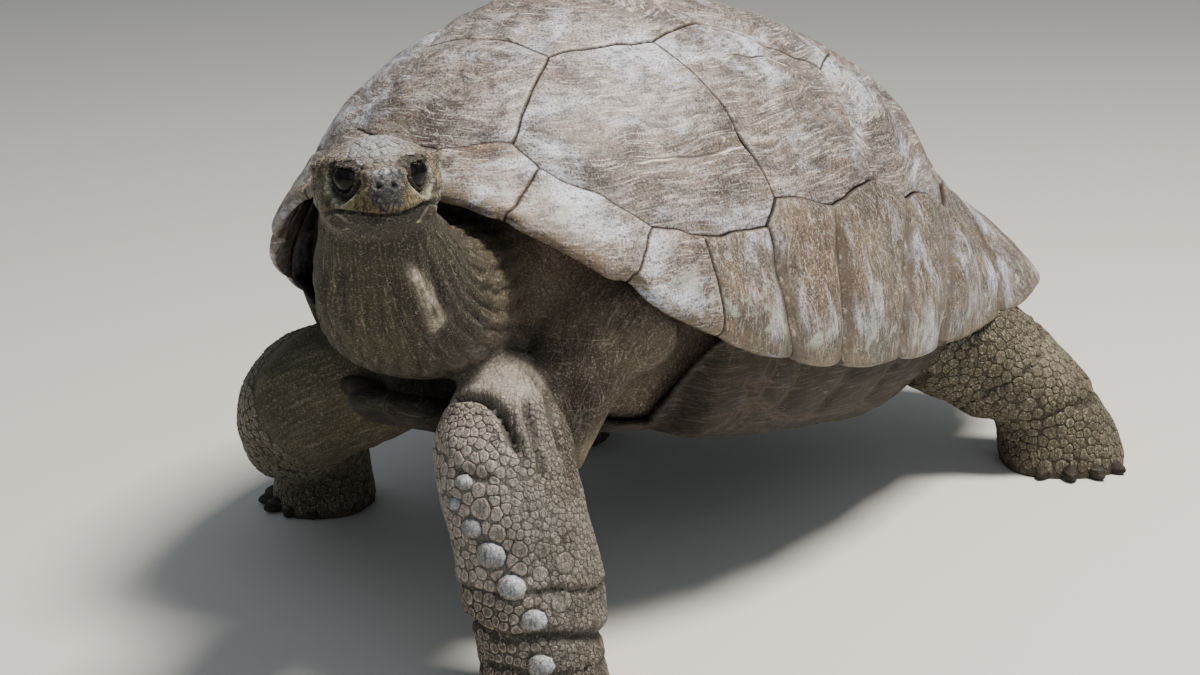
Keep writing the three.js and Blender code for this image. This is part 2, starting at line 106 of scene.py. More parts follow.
def mix(a, b, t):
    return a + (b - a) * t


def signed_power(v, power):
    return np.sign(v) * np.abs(v) ** power


def hump(distance, width):
    return np.exp(-((distance / width) ** 2))


bpy.ops.object.select_all(action="DESELECT")

# %% [markdown]
# ## Rolling ground for the surfaces
# Nothing on an old animal is perfectly even. A sum of a few slow waves in random but fixed
# directions gives a gentle unevenness that is the same on every run.

# %% Slow waves through space
def waves(points, length, seed, count=7):
    """Unevenness between about -1 and 1, whose swells are `length` millimetres apart."""
    rng = np.random.default_rng(seed)
    ways = rng.normal(size=(count, 3))
    ways /= np.linalg.norm(ways, axis=1, keepdims=True)
    lengths = length * rng.uniform(0.7, 1.4, count)
    phases = rng.uniform(0, 2 * np.pi, count)
    turns = points @ (ways / lengths[:, None]).T * 2 * np.pi + phases
    return np.sin(turns).sum(axis=-1) / math.sqrt(count)


# %% [markdown]
# ## A body made of rings
# Plates, legs, neck and eyes are all bodies that have two poles and rings between them. A
# sphere has just that build, so a sphere is added with the right number of segments and rings,
# and each of its points then moves to its place. The poles stay closed.

# %% Make a body from rings
def ball_of_rings(name, rings, first_pole, last_pole):
    count, sides, _ = rings.shape
    bpy.ops.mesh.primitive_uv_sphere_add(segments=sides, ring_count=count + 1, radius=1)
    obj = bpy.context.object
    obj.name = obj.data.name = name
    at = points_of(obj)
    ring = np.rint(np.arccos(np.clip(at[:, 2], -1, 1)) / np.pi * (count + 1)).astype(int)
    side = np.rint(np.arctan2(at[:, 1], at[:, 0]) / (2 * np.pi) * sides).astype(int) % sides
    layers = np.concatenate([np.broadcast_to(first_pole, (1, sides, 3)), rings,
                             np.broadcast_to(last_pole, (1, sides, 3))])
    set_points(obj, on_floor(layers[ring, side]))
    if signed_volume(obj) < 0:
        obj.data.flip_normals()
    return obj, ring, side


def signed_volume(obj):
    obj.data.calc_loop_triangles()
    corners = np.empty(len(obj.data.loop_triangles) * 3, dtype=int)
    obj.data.loop_triangles.foreach_get("vertices", corners)
    a, b, c = points_of(obj)[corners.reshape(-1, 3).T]
    return float(np.einsum("ij,ij->", a, np.cross(b, c))) / 6


# %% [markdown]
# ## Colour and node helpers
# Colours are written as on a paint chart, as sRGB hex values, and one function turns them
# linear. One function adds a node, sets it up and links it.

# %% Colour and node helpers
def paint(code):
    parts = [int(code[i:i + 2], 16) / 255 for i in (0, 2, 4)]
    return tuple(c / 12.92 if c <= 0.04045 else ((c + 0.055) / 1.055) ** 2.4 for c in parts) + (1.0,)


def add_node(tree, kind, links=None, **settings):
    node = tree.nodes.new(kind)
    for name, value in settings.items():
        setattr(node, name, value)
    for socket, source in (links or {}).items():
        if isinstance(source, bpy.types.NodeSocket):
            tree.links.new(source, node.inputs[socket])
        else:
            node.inputs[socket].default_value = source
    return node


def new_material(name):
    material = bpy.data.materials.new(name)
    material.use_nodes = True
    material.node_tree.nodes.clear()
    return material, material.node_tree


# %% [markdown]
# ## Materials
# Every finish is worked out from the place on the animal, in real millimetres. `grain` is noise
# with spots of a stated size, and `cracks` is a net of thin lines. `coverage` says how much of
# a finish shows at a place, and `wash` lays a colour over another one by that much.

# %% Small building blocks for finishes
def grain(tree, where, size, stretch=(1, 1, 1), detail=3.0, bend=0.0):
    """Noise between 0 and 1 whose spots are about `size` millimetres across."""
    scale = [1000 / (size * s) for s in stretch]
    spaced = add_node(tree, "ShaderNodeMapping", {"Vector": where, "Scale": scale})
    return add_node(tree, "ShaderNodeTexNoise", {
        "Vector": spaced.outputs[0], "Scale": 1.0, "Detail": detail, "Roughness": 0.6,
        "Distortion": bend}).outputs["Fac"]


def cracks(tree, where, size, warp, stretch=(1, 1, 1)):
    """How far a place is from the lines between irregular cells `size` millimetres across."""
    scale = [1000 / (size * s) for s in stretch]
    spaced = add_node(tree, "ShaderNodeMapping", {"Vector": where, "Scale": scale}).outputs[0]
    wobble = add_node(tree, "ShaderNodeTexNoise", {"Vector": spaced, "Scale": 1.6, "Detail": 2.0})
    warped = add_node(tree, "ShaderNodeMix", {0: warp, 6: spaced, 7: wobble.outputs["Color"]},
                      data_type="RGBA", blend_type="ADD")
    return add_node(tree, "ShaderNodeTexVoronoi", {"Vector": warped.outputs[2], "Scale": 1.0},
                    feature="DISTANCE_TO_EDGE").outputs["Distance"]


def coverage(tree, *bands, top=1.0):
    """`top` where every band is full, 0 where one is empty. A band is (value, low, high), which
    fills while the value goes from low to high, or a value between 0 and 1."""
    total = top
    for band in bands:
        if isinstance(band, tuple):
            value, low, high = band
            band = add_node(tree, "ShaderNodeMapRange", {
                "Value": value, "From Min": low, "From Max": high},
                interpolation_type="SMOOTHSTEP").outputs[0]
        total = add_node(tree, "ShaderNodeMath", {0: band, 1: total},
                         operation="MULTIPLY").outputs[0]
    return total


def wash(tree, under, code, *bands, top=1.0, blend="MIX"):
    """The colour `under` with the hex colour `code` laid over it where the bands are full."""
    return add_node(tree, "ShaderNodeMix", {
        0: coverage(tree, *bands, top=top), 6: under, 7: paint(code)},
        data_type="RGBA", blend_type=blend).outputs[2]


def weighted(tree, *parts):
    """The sum of several (value, weight) pairs."""
    total = 0.0
    for value, weight in parts:
        total = add_node(tree, "ShaderNodeMath", {0: value, 1: weight, 2: total},
                         operation="MULTIPLY_ADD").outputs[0]
    return total


def bumps(tree, *heights):
    """Bumps on top of each other, as pairs of a height and its full depth in millimetres."""
    below = {}
    for height, depth in heights:
        bump = add_node(tree, "ShaderNodeBump", {
            "Height": height, "Distance": depth * 0.001, "Strength": 1.0, **below})
        below = {"Normal": bump.outputs[0]}
    return bump.outputs[0]


def finish_with(tree, colour, roughness, normal, specular):
    surface = add_node(tree, "ShaderNodeBsdfPrincipled", {
        "Base Color": colour, "Roughness": roughness, "Normal": normal,
        "Specular IOR Level": specular})
    add_node(tree, "ShaderNodeOutputMaterial", {"Surface": surface.outputs[0]})


# %% [markdown]
# ## Old horn
# The plates are keratin, like fingernail, worn for a century by sun, rain and bushes. Young
# horn is dark brown and smooth. On this animal it is bleached to grey-brown, brushed with fine
# streaks that run fore and aft, and clouded by a bluish bloom where it lies open to the sky; that
# blue-white is partly the horn's own bloom and partly a painted sheen that reflects the sky.
# Dust sits in the grooves between plates, which stay dark at the bottom and pale at the lips. The
# brown in the wide valleys between the marginals is partly dirt and partly painted shade.

# %% Horn of the plates
def bent(tree, where, size, amount):
    """Coordinates pushed about by slow noise, so that strokes curve instead of running straight."""
    scale = [1000 / size] * 3
    spaced = add_node(tree, "ShaderNodeMapping", {"Vector": where, "Scale": scale})
    slow = add_node(tree, "ShaderNodeTexNoise", {
        "Vector": spaced.outputs[0], "Scale": 1.0, "Detail": 1.0})
    push = add_node(tree, "ShaderNodeVectorMath", {
        0: slow.outputs["Color"], 1: (0.5, 0.5, 0.5)}, operation="SUBTRACT")
    sized = add_node(tree, "ShaderNodeVectorMath", {
        0: push.outputs[0], "Scale": amount * 0.001}, operation="SCALE")
    return add_node(tree, "ShaderNodeVectorMath", {0: where, 1: sized.outputs[0]}).outputs[0]


def horn_finish(name, dark, middle, warm, groove, wear=1.0, lie=(1, 1, 0), dull=0.0):
    """`groove` is how far the dark of a seam reaches, `wear` how weathered the horn is and
    `lie` which way the strokes run."""
    material, tree = new_material(name)
    here = add_node(tree, "ShaderNodeTexCoord").outputs["Object"]
    curved = bent(tree, here, 120, 40)
    bleach, inland, from_rim, beside, past, valley = [
        add_node(tree, "ShaderNodeAttribute", attribute_name=note).outputs["Fac"]
        for note in ("bloom", "from_seam", "from_rim", "beside_scar", "past_scar", "valley")]
    # Broad clouds of lighter and darker horn, then brown where the bleached layer has worn off.
    cloud = weighted(tree, (grain(tree, here, 60, (1, 1.3, 1), 6, 0.6), 1), (bleach, 0.15))
    colour = wash(tree, paint(dark), middle, (cloud, 0.38, 0.64))
    worn_off = weighted(tree, (grain(tree, here, 45, (1, 1.4, 1), 6, 0.5), 1), (bleach, -0.12))
    colour = wash(tree, colour, warm, (worn_off, 0.46, 0.66), top=0.7)
    # Brushed strokes, as a besom leaves them: faint broad ones and hair-fine ones.
    streak = grain(tree, curved, 7, [1 + 7 * way for way in lie], 5, 0.4)
    hairs = grain(tree, curved, 1.9, [1 + 26 * way for way in lie], 3, 0.2)
    colour = wash(tree, colour, "bab5b3", (streak, 0.52, 0.7), top=0.6 * wear)
    colour = wash(tree, colour, "3f3935", (streak, 0.49, 0.32), top=0.7 * wear)
    # The bluish bloom of weathered horn, partly a painted sheen that reflects the sky.
    patches = grain(tree, curved, 38, [1 + 1.2 * way for way in lie], 7, 0.6)
    bloom_and_sky_sheen = weighted(tree, (patches, 1), (bleach, 0.17))
    colour = wash(tree, colour, "c4cbdc", (bloom_and_sky_sheen, 0.5, 0.78), top=0.9 * wear)
    colour = wash(tree, colour, "cfc9c3", (hairs, 0.54, 0.7), top=0.7 * wear)
    colour = wash(tree, colour, "3a3430", (hairs, 0.45, 0.3), top=0.4 * wear)
    # Long curved scratches where brushwood has passed, in patches.
    lines = cracks(tree, curved, 34, 1.0, [1 + 3 * way for way in lie])
    scratch = coverage(tree, (lines, 0.012, 0.002), (grain(tree, here, 26, detail=4), 0.5, 0.62))
    colour = wash(tree, colour, "cbc4ba", scratch, top=0.8 * wear)
    # Grit in the pores of the horn: dark pits and pale worn points.
    grit = grain(tree, here, 2.6)
    mottle = grain(tree, curved, 6, [1 + 2.5 * way for way in lie], 5)
    colour = wash(tree, colour, "38332f", (mottle, 0.47, 0.7), top=0.75)
    colour = wash(tree, colour, "2a2623", (grit, 0.52, 0.32), top=0.9 * wear)
    colour = wash(tree, colour, "d6d1cc", (grit, 0.56, 0.74), top=0.5 * wear)
    # Pale green-grey lichen low on the rim, and olive dirt below it.
    lichen = grain(tree, here, 24, detail=6)
    colour = wash(tree, colour, "a3ab9f", (from_rim, 14, 26), (from_rim, 62, 38),
                  (lichen, 0.5, 0.62), top=0.6)
    dirt = grain(tree, here, 12, detail=6)
    colour = wash(tree, colour, "6a5c46", (from_rim, 20, 2), (dirt, 0.4, 0.6), top=0.7)
    # A healed scar: a thin crease, dark in its middle and pale towards its ends.
    off_scar = add_node(tree, "ShaderNodeMath", {0: beside}, operation="ABSOLUTE").outputs[0]
    scar = coverage(tree, (off_scar, 2.4, 0.7), (past, 1.05, 0.9))
    colour = wash(tree, colour, "cbc4b8", scar, top=0.75)
    colour = wash(tree, colour, "38302a", scar, (past, 0.5, 0.3))
    # Brown in the wide valleys, partly dirt and partly painted shade, dust at the lips of the grooves
    # and dirt at their bottom.
    patchy = grain(tree, here, 9, detail=6)
    reach = weighted(tree, (valley, 22.0), (groove, 2.4))
    in_reach = add_node(tree, "ShaderNodeMath", {0: inland, 1: reach}, operation="DIVIDE")
    colour = wash(tree, colour, "463c32", (in_reach.outputs[0], 1.1, 0.35),
                  (patchy, 0.95, 0.45), top=0.8)
    colour = wash(tree, colour, "b0a594", (inland, groove, groove + 2),
                  (inland, groove + 7, groove + 2.5), (patchy, 0.54, 0.66), top=0.6 * wear)
    edge = weighted(tree, (inland, 1), (grain(tree, here, 5, detail=5), 5))
    colour = wash(tree, colour, "2c251f", (edge, groove + 3, groove + 1))
    fine = weighted(tree, (mottle, 1), (grit, 1), (scratch, -1), (scar, -2))
    gloss = add_node(tree, "ShaderNodeMapRange", {
        "Value": mottle, "To Min": 0.42 + dull, "To Max": 0.66 + dull})
    finish_with(tree, colour, gloss.outputs[0], bumps(tree, (streak, 0.3), (fine, 0.5)),
                0.45 - dull)
    return material


HORN = {
    "shell_horn": horn_finish("bleached_shell_horn", "544e4a", "8d8783", "7a6a5d",
                              1.2, 1.0, (0.6, 1, 0)),
    "front_horn": horn_finish("blue_grey_front_horn", "534a45", "877d77", "866f5e",
                              1.2, 1.0, (1, 0.5, 0)),
    "rim_horn": horn_finish("brown_rim_horn", "4b4339", "746859", "705c48",
                            1.5, 0.8, (0, 0, 1)),
    # The belly horn's brown is darkened beyond its own colour: painted shade under the shell.
    "belly": horn_finish("belly_horn_darkened_as_shade", "17150c", "221f12", "2a2316",
                         2.5, 0.12, (0.6, 1, 0), 0.2),
}

# %% [markdown]
# ## Hide
# The skin between the scales is thick, dry and dark grey-brown, with dust on every raised edge.
# Its colour is set point by point further on, by named zones of the body, and is kept in the
# note "hide" that the scales carry too. The finish here adds what is too small for points:
# a leathery net, fine wrinkles along the limb, and specks.

# %% Hide, horny scales and eyes
def hide_finish(name, rough, net, wrinkle, pale):
    """`net` and `wrinkle` are the depths in millimetres of the leathery net and the wrinkles.
    Where the note "scratched" says so, thorns have drawn long pale scratches both ways."""
    material, tree = new_material(name)
    here = add_node(tree, "ShaderNodeTexCoord").outputs["Object"]
    along, colour, scratched, polish = [
        add_node(tree, "ShaderNodeAttribute", attribute_name=note).outputs[output]
        for note, output in (("along", "Vector"), ("hide", "Color"), ("scratched", "Fac"),
                             ("polish", "Fac"))]
    speck = grain(tree, here, 2.6, detail=4)
    leather = coverage(tree, (cracks(tree, here, 7.0, 0.5), 0.16, 0.02))
    lines = grain(tree, along, 3.8, (1, 1, 8), 5, 0.8)
    blotch = grain(tree, here, 38, detail=5)
    colour = wash(tree, colour, "bfb09a", (blotch, 0.45, 0.7), top=0.45, blend="MULTIPLY")
    colour = wash(tree, colour, "c2bbae", (speck, 0.51, 0.7), top=pale * 1.3)
    colour = wash(tree, colour, "2a251d", (speck, 0.48, 0.26), top=0.5)
    colour = wash(tree, colour, "2a251c", (lines, 0.52, 0.36), top=0.5)
    colour = wash(tree, colour, "a79e8f", (lines, 0.55, 0.7), top=pale * 1.3)
    colour = wash(tree, colour, "2a231b", leather, top=0.35)
    curved = bent(tree, here, 70, 30)
    nearest = add_node(tree, "ShaderNodeMath", {
        0: cracks(tree, curved, 13, 0.6, (1, 1, 7)), 1: cracks(tree, curved, 12, 0.6, (5, 5, 1))},
        operation="MINIMUM")
    colour = wash(tree, colour, "a89c8a", (nearest.outputs[0], 0.03, 0.004), scratched,
                  (blotch, 0.42, 0.6), top=0.75)
    roughness = add_node(tree, "ShaderNodeMapRange", {
        "Value": polish, "To Min": rough, "To Max": 0.24})
    fine = weighted(tree, (speck, 1), (leather, -1))
    finish_with(tree, colour, roughness.outputs[0], bumps(tree, (lines, wrinkle), (fine, net)), 0.3)
    return material


def eye_finish():
    material, tree = new_material("wet_dark_eye")
    here = add_node(tree, "ShaderNodeTexCoord").outputs["Object"]
    out = add_node(tree, "ShaderNodeAttribute", attribute_name="from_pupil").outputs["Fac"]
    flecks = grain(tree, here, 1.2)
    colour = wash(tree, paint("040404"), "120d0a", (out, 6.0, 7.0))
    colour = wash(tree, colour, "120b07", (flecks, 0.4, 0.7), top=0.35)
    colour = wash(tree, colour, "0a0908", (out, 9.6, 11.0))
    finish_with(tree, colour, 0.12, bumps(tree, (flecks, 0.02)), 0.18)
    return material


HIDE = hide_finish("dry_wrinkled_hide", 0.72, 0.35, 1.4, 0.22)
SCALE = hide_finish("horny_leg_scale", 0.55, 0.3, 0.25, 0.4)
WET_EYE = eye_finish()
# %% [markdown]
# ## The dome
# The upper shell is a dome over a unit disk: reach 0 is its top and reach 1 its rim. A tortoise
# of this kind has a high front rim that leaves room for the neck, and marginal plates that
# flare out over the hind legs. The same formula is in the solid model, so plates made on it
# take the solids' place exactly.

# %% The dome's formula
SHELL_LENGTH = 1098.0
SHELL_WIDTH = 782.0
DOME_TOP = 480.0
FRONT_RIM = 225.0
REAR_RIM = 120.0
TOP_SHIFT = -105.0
NOSE_UP = math.radians(10.5)


def swell(angle, power):
    return ((1 + np.cos(angle)) / 2) ** power


def pitched(x, y, z):
    cos, sin = math.cos(-NOSE_UP), math.sin(-NOSE_UP)
    return np.stack([x, y * cos - z * sin, y * sin + z * cos], axis=-1)


def dome_parts(p, q):
    angle = np.arctan2(np.abs(p), -q)
    reach = np.minimum(np.hypot(p, q), 1)
    back = np.pi - angle
    rim = FRONT_RIM * swell(angle, 4.4) + REAR_RIM * swell(back, 3.44)
    hip = hump(np.degrees(angle) - 155, 30) * np.clip((reach - 0.7) / 0.3, 0, 1) ** 1.5
    edge = np.clip((reach - 0.75) / 0.25, 0, 1) ** 2
    flare = 1 + 0.4 * hip + edge * (0.065 * swell(angle, 1.5) + 0.019 * swell(back, 1.5))
    out = flare * np.sin(reach * np.pi / 2) ** (0.75 + 0.29 * swell(angle, 2) + 0.067 * swell(back, 2))
    up = np.maximum(np.cos(reach * np.pi / 2), 0) ** (0.805 + 0.594 * swell(angle, 2))
    cos = np.cos(angle)
    corner = np.where(cos > 0, 0.867, 0.815)
    x = SHELL_WIDTH / 2 * np.sin(angle) ** corner * (1 - 0.048 * cos) * out * np.sign(p)
    y = -SHELL_LENGTH / 2 * signed_power(cos, corner) * out + TOP_SHIFT * (1 - out)
    return x, y, rim + (DOME_TOP - rim) * up + 21 * hip


def dome(p, q):
    return pitched(*dome_parts(p, q))


def outward(surface, p, q, step=0.012):
    """The way out of a surface over the disk, square to it."""
    left = surface(p + step, q) - surface(p - step, q)
    rear = surface(p, q + step) - surface(p, q - step)
    way = np.cross(left, rear)
    return way / np.linalg.norm(way, axis=-1, keepdims=True)


# %% [markdown]
# ## Where the seams run
# The shell has five vertebral plates along the back, four costals on each side, and a ring of
# marginals with a nuchal in front and a supracaudal behind. Every corner where plates meet gets
# a name, and each seam is one drawn line between two corners that both its plates share. That
# way the plates fit without gaps, and a seam wanders the same way on both of them.

# %% Corners of the plates, as [leftwards, rearwards] on the disk
def polar(degrees, reach):
    turn = math.radians(degrees)
    return np.array([reach * math.sin(turn), -reach * math.cos(turn)])


RIM_SEAMS = [4, 19, 40.5, 57, 71, 82, 94, 107, 126, 147, 160, 172]
RING_CORNERS = [(4, 0.83), (22.5, 0.795), (44, 0.818), (53.5, 0.8), (67, 0.757), (83, 0.716),
                (100.5, 0.727), (120, 0.785), (139, 0.81), (152, 0.82), (163, 0.8), (172, 0.79)]
CORNERS = {f"rim{i}": polar(degrees, 1) for i, degrees in enumerate(RIM_SEAMS)}
CORNERS |= {f"in{i}": polar(*corner) for i, corner in enumerate(RING_CORNERS)}
CORNERS |= {
    "v1c1": polar(16.7, 0.752), "c1c2": polar(69.7, 0.7), "c2c3": polar(93.4, 0.676),
    "c3c4": polar(131, 0.76), "c4v5": polar(160, 0.785),
    "v1v2": np.array([0.144, -0.445]), "v2c1": np.array([0.264, -0.225]),
    "v2v3": np.array([0.232, -0.05]), "v3c2": np.array([0.402, 0.067]),
    "v3v4": np.array([0.25, 0.26]), "v4c3": np.array([0.33, 0.42]), "v4v5": np.array([0.19, 0.56]),
}
RING = "in0 v1c1 in1 in2 in3 in4 c1c2 in5 c2c3 in6 in7 c3c4 in8 in9 c4v5 in10 in11".split()


def between(first, last):
    return RING[RING.index(first):RING.index(last) + 1]


# %% One seam, drawn once and shared by both its plates
SEAM_STEP = 5.0


def corner_at(corner):
    name, side = corner
    return CORNERS[name] * (side, 1)


def seam_line(a, b):
    """Points from corner a to corner b. A line along the rim follows it."""
    if (b, a) < (a, b):
        return seam_line(b, a)[::-1]
    start, end = corner_at(a), corner_at(b)
    on_rim = a[0].startswith("rim") and b[0].startswith("rim")
    length = np.linalg.norm(dome(*start) - dome(*end))
    count = max(4, round(length / SEAM_STEP))
    t = np.arange(count + 1) / count
    line = start + (end - start) * t[:, None]
    if on_rim:
        angles = [math.atan2(p[0], -p[1]) for p in (start, end)]
        if abs(angles[1] - angles[0]) > math.pi:
            angles[0 if angles[0] < 0 else 1] += 2 * math.pi
        turn = mix(angles[0], angles[1], t)
        return np.stack([np.sin(turn), -np.cos(turn)], axis=-1)
    rng = np.random.default_rng(sum(map(ord, a[0] + b[0])) + (a[1] > 0) + 2 * (b[1] > 0))
    across = np.array([-(end - start)[1], (end - start)[0]])
    wander = sum(rng.uniform(-1, 1) / k * np.sin(k * np.pi * t) for k in (1, 2, 3, 5, 8))
    return line + across * (wander * 0.03)[:, None]


VALLEY_BLEND = 70.0


def outline_of(loop):
    """The closed line round a plate. With it goes whether the run after each of its points
    is a piece of the free rim, and how near it is to the low end of a seam that runs down."""
    runs, rims, sides = [], [], []
    for a, b in zip(loop, loop[1:] + loop[:1]):
        line = seam_line(a, b)[:-1]
        length = np.linalg.norm(dome(*corner_at(a)) - dome(*corner_at(b)))
        t = np.arange(len(line)) / len(line)
        ends = [corner[0].startswith("rim") for corner in (a, b)]
        from_ring = (t if ends[1] else 1 - t) * length
        runs.append(line)
        rims.append(np.full(len(line), all(ends)))
        sides.append(smoothly(from_ring / VALLEY_BLEND) * (sum(ends) == 1) + 1.0 * all(ends))
    return np.concatenate(runs), np.concatenate(rims), np.concatenate(sides)


def one_side(names, side):
    return [(name, side) for name in names]


def both_sides(names):
    return one_side(names, 1) + one_side(names[::-1], -1)


PLATES = {
    "vertebral_1": both_sides(["in0", "v1c1", "v1v2"]),
    "vertebral_2": both_sides(["v1v2", "v2c1", "v2v3"]),
    "vertebral_3": both_sides(["v2v3", "v3c2", "v3v4"]),
    "vertebral_4": both_sides(["v3v4", "v4c3", "v4v5"]),
    "vertebral_5": both_sides(["v4v5"] + between("c4v5", "in11")),
    "nuchal": both_sides(["rim0", "in0"]),
    "supracaudal": both_sides(["rim11", "in11"]),
}
for side, word in ((1, "left"), (-1, "right")):
    PLATES[f"costal_{word}_1"] = one_side(between("v1c1", "c1c2") + ["v2c1", "v1v2"], side)
    PLATES[f"costal_{word}_2"] = one_side(between("c1c2", "c2c3") + ["v3c2", "v2v3", "v2c1"], side)
    PLATES[f"costal_{word}_3"] = one_side(between("c2c3", "c3c4") + ["v4c3", "v3v4", "v3c2"], side)
    PLATES[f"costal_{word}_4"] = one_side(between("c3c4", "c4v5") + ["v4v5", "v4c3"], side)
    for i in range(1, 12):
        ring = between(f"in{i - 1}", f"in{i}")
        PLATES[f"marginal_{word}_{i}"] = one_side([f"rim{i - 1}", f"rim{i}"] + ring[::-1], side)
print(len(PLATES), "plates are laid out")

# %% [markdown]
# ## One plate of horn
# Each plate bulges a little in its middle and dips into a groove at each seam, where the horn
# of old animals is thin and dark. Growth lines run parallel to the edges. The plate is a body
# of rings: rings on top that close in on its middle, then its edge, then its hollow underside.
# A free rim is thick and rounded instead of grooved, and over the belly's bridge it curls in.

# %% Height of the horn over the dome, and the plate itself
GROOVE_DEPTH = 2.0
GROOVE_WIDTH = 1.7
VALLEY_DEPTH = 9.0
VALLEY_WIDTH = 17.0
EDGE_STEPS = [0, 0.8, 1.7, 2.8, 4.2, 6.5, 9.5]
PLATE_THICKNESS = 14.0
RIM_ROUNDING = 8.0
RING_STEP = 6.5


def nearest_on(at, outline, chosen, weights):
    """Distance to the chosen runs of an outline, and the weight at the nearest place on them."""
    near, found = np.full(len(at), 999.0), np.zeros(len(at))
    after_it, next_weights = np.roll(outline, -1, axis=0), np.roll(weights, -1)
    for k in np.flatnonzero(chosen):
        step = after_it[k] - outline[k]
        t = np.clip((at - outline[k]) @ step / (step @ step), 0, 1)
        gap = np.linalg.norm(at - outline[k] - t[:, None] * step, axis=1)
        closer = gap < near
        near[closer] = gap[closer]
        found[closer] = mix(weights[k], next_weights[k], t[closer])
    return near, found


def horn_height(points, from_edge, share, seam, rim, valley, kind):
    """Height over the dome, from the distances to the nearest seam and to the free rim."""
    bulge = {"vertebral": 7.0, "costal": 8.0}.get(kind, 3.0)
    height = -bulge * share ** 3
    height -= GROOVE_DEPTH * hump(seam, GROOVE_WIDTH * (1 + valley))
    height -= VALLEY_DEPTH * valley * hump(seam, VALLEY_WIDTH) * smoothly(rim / 45)
    rounding = np.clip(RIM_ROUNDING - rim, 0, RIM_ROUNDING)
    height -= (RIM_ROUNDING - np.sqrt(RIM_ROUNDING ** 2 - rounding ** 2)) * 0.9
    lines = np.sin(from_edge * 2 * np.pi / 9.5 + waves(points, 130, 5)) * np.exp(-from_edge / 45)
    height += lines * (0.35 + 0.3 * waves(points, 210, 6)) * smoothly((from_edge - 4) / 6)
    height += 2.3 * waves(points, 150, 7) + 1.0 * waves(points, 60, 8) + 0.25 * waves(points, 24, 9)
    return height - 1.2


# Old scars: where each starts and ends on the disk, and how it bends.
SCARS = {
    "costal_left_1": ((0.445, -0.518), (0.538, -0.237), 9.0),
    "costal_left_2": ((0.350, -0.157), (0.398, -0.005), -5.0),
    "costal_left_3": ((0.530, 0.060), (0.606, 0.073), 3.0),
    "costal_right_2": ((-0.52, -0.11), (-0.44, 0.02), 6.0),
    "vertebral_3": ((-0.06, 0.02), (0.09, 0.1), 5.0),
}


def scar_notes(name, at, way):
    """How far beside a plate's scar each point lies, and how far past its ends."""
    if name not in SCARS:
        return np.full(len(at), 99.0), np.full(len(at), 99.0)
    start, end, bend = SCARS[name]
    start, end = dome(*start), dome(*end)
    length = np.linalg.norm(end - start)
    ahead = (end - start) / length
    aside = np.cross(ahead, way)
    aside /= np.linalg.norm(aside)
    t = (at - start) @ ahead / length
    beside = (at - start) @ aside - bend * np.sin(np.pi * np.clip(t, -0.2, 1.2)) - 2 * waves(at, 40, 17)
    return beside, np.abs(t - 0.5) * 2


# Where the horn is bleached (above 0) and where the brown shows (below 0): the middle of each
# spot on the disk, its reach in millimetres and its strength.
SPOTS = [((0.31, -0.40), 95, 0.75), ((0.33, -0.68), 50, 0.6), ((0.43, -0.42), 34, -0.7),
         ((0.50, -0.49), 60, -0.35), ((0.36, -0.55), 40, -0.5), ((0.65, -0.38), 30, 0.5),
         ((-0.02, -0.55), 55, 0.7), ((0.07, -0.70), 75, -0.7), ((0.13, -0.29), 60, -0.3),
         ((0.35, -0.10), 70, 0.75), ((0.53, -0.14), 50, -0.7), ((0.43, -0.02), 50, -0.2),
         ((0.66, -0.05), 60, -0.4), ((0.43, 0.19), 45, 0.3), ((0.52, 0.41), 80, -0.6),
         ((0.44, -0.76), 40, 1.1), ((0.51, -0.70), 34, 0.9), ((0.17, -0.84), 45, 0.5),
         ((0.65, -0.63), 60, 0.15), ((0.77, -0.55), 50, -0.1), ((0.73, -0.33), 50, 0.1),
         ((0.75, -0.14), 50, -0.6), ((0.74, 0.0), 50, -0.6), ((0.91, -0.03), 40, 0.15),
         ((0.77, 0.21), 50, -0.3), ((0.94, 0.19), 45, 0.2), ((0.63, 0.61), 70, 0.5),
         ((0.75, 0.62), 55, 0.6), ((-0.45, -0.6), 90, 0.5), ((-0.4, 0.1), 110, 0.5),
         ((-0.7, -0.2), 80, -0.4), ((0.0, 0.3), 120, 0.3), ((-0.6, 0.5), 90, -0.3)]


def bleached(at):
    amount = 0.45 * waves(at, 170, 18)
    for middle, reach, strength in SPOTS:
        amount = amount + strength * hump(np.linalg.norm(at - dome(*middle), axis=1), reach)
    return np.clip(amount, -1, 1)


# Between the legs the seams of the marginals lie in wide dark valleys: degrees from the front.
def valley_at(p, q):
    degrees = np.degrees(np.arctan2(np.abs(p), -q))
    return smoothly((degrees - 60) / 8) * smoothly((140 - degrees) / 16)


def no_scars(obj):
    for note in ("beside_scar", "past_scar", "from_rim"):
        note_on(obj, note, np.full(len(obj.data.vertices), 99.0))


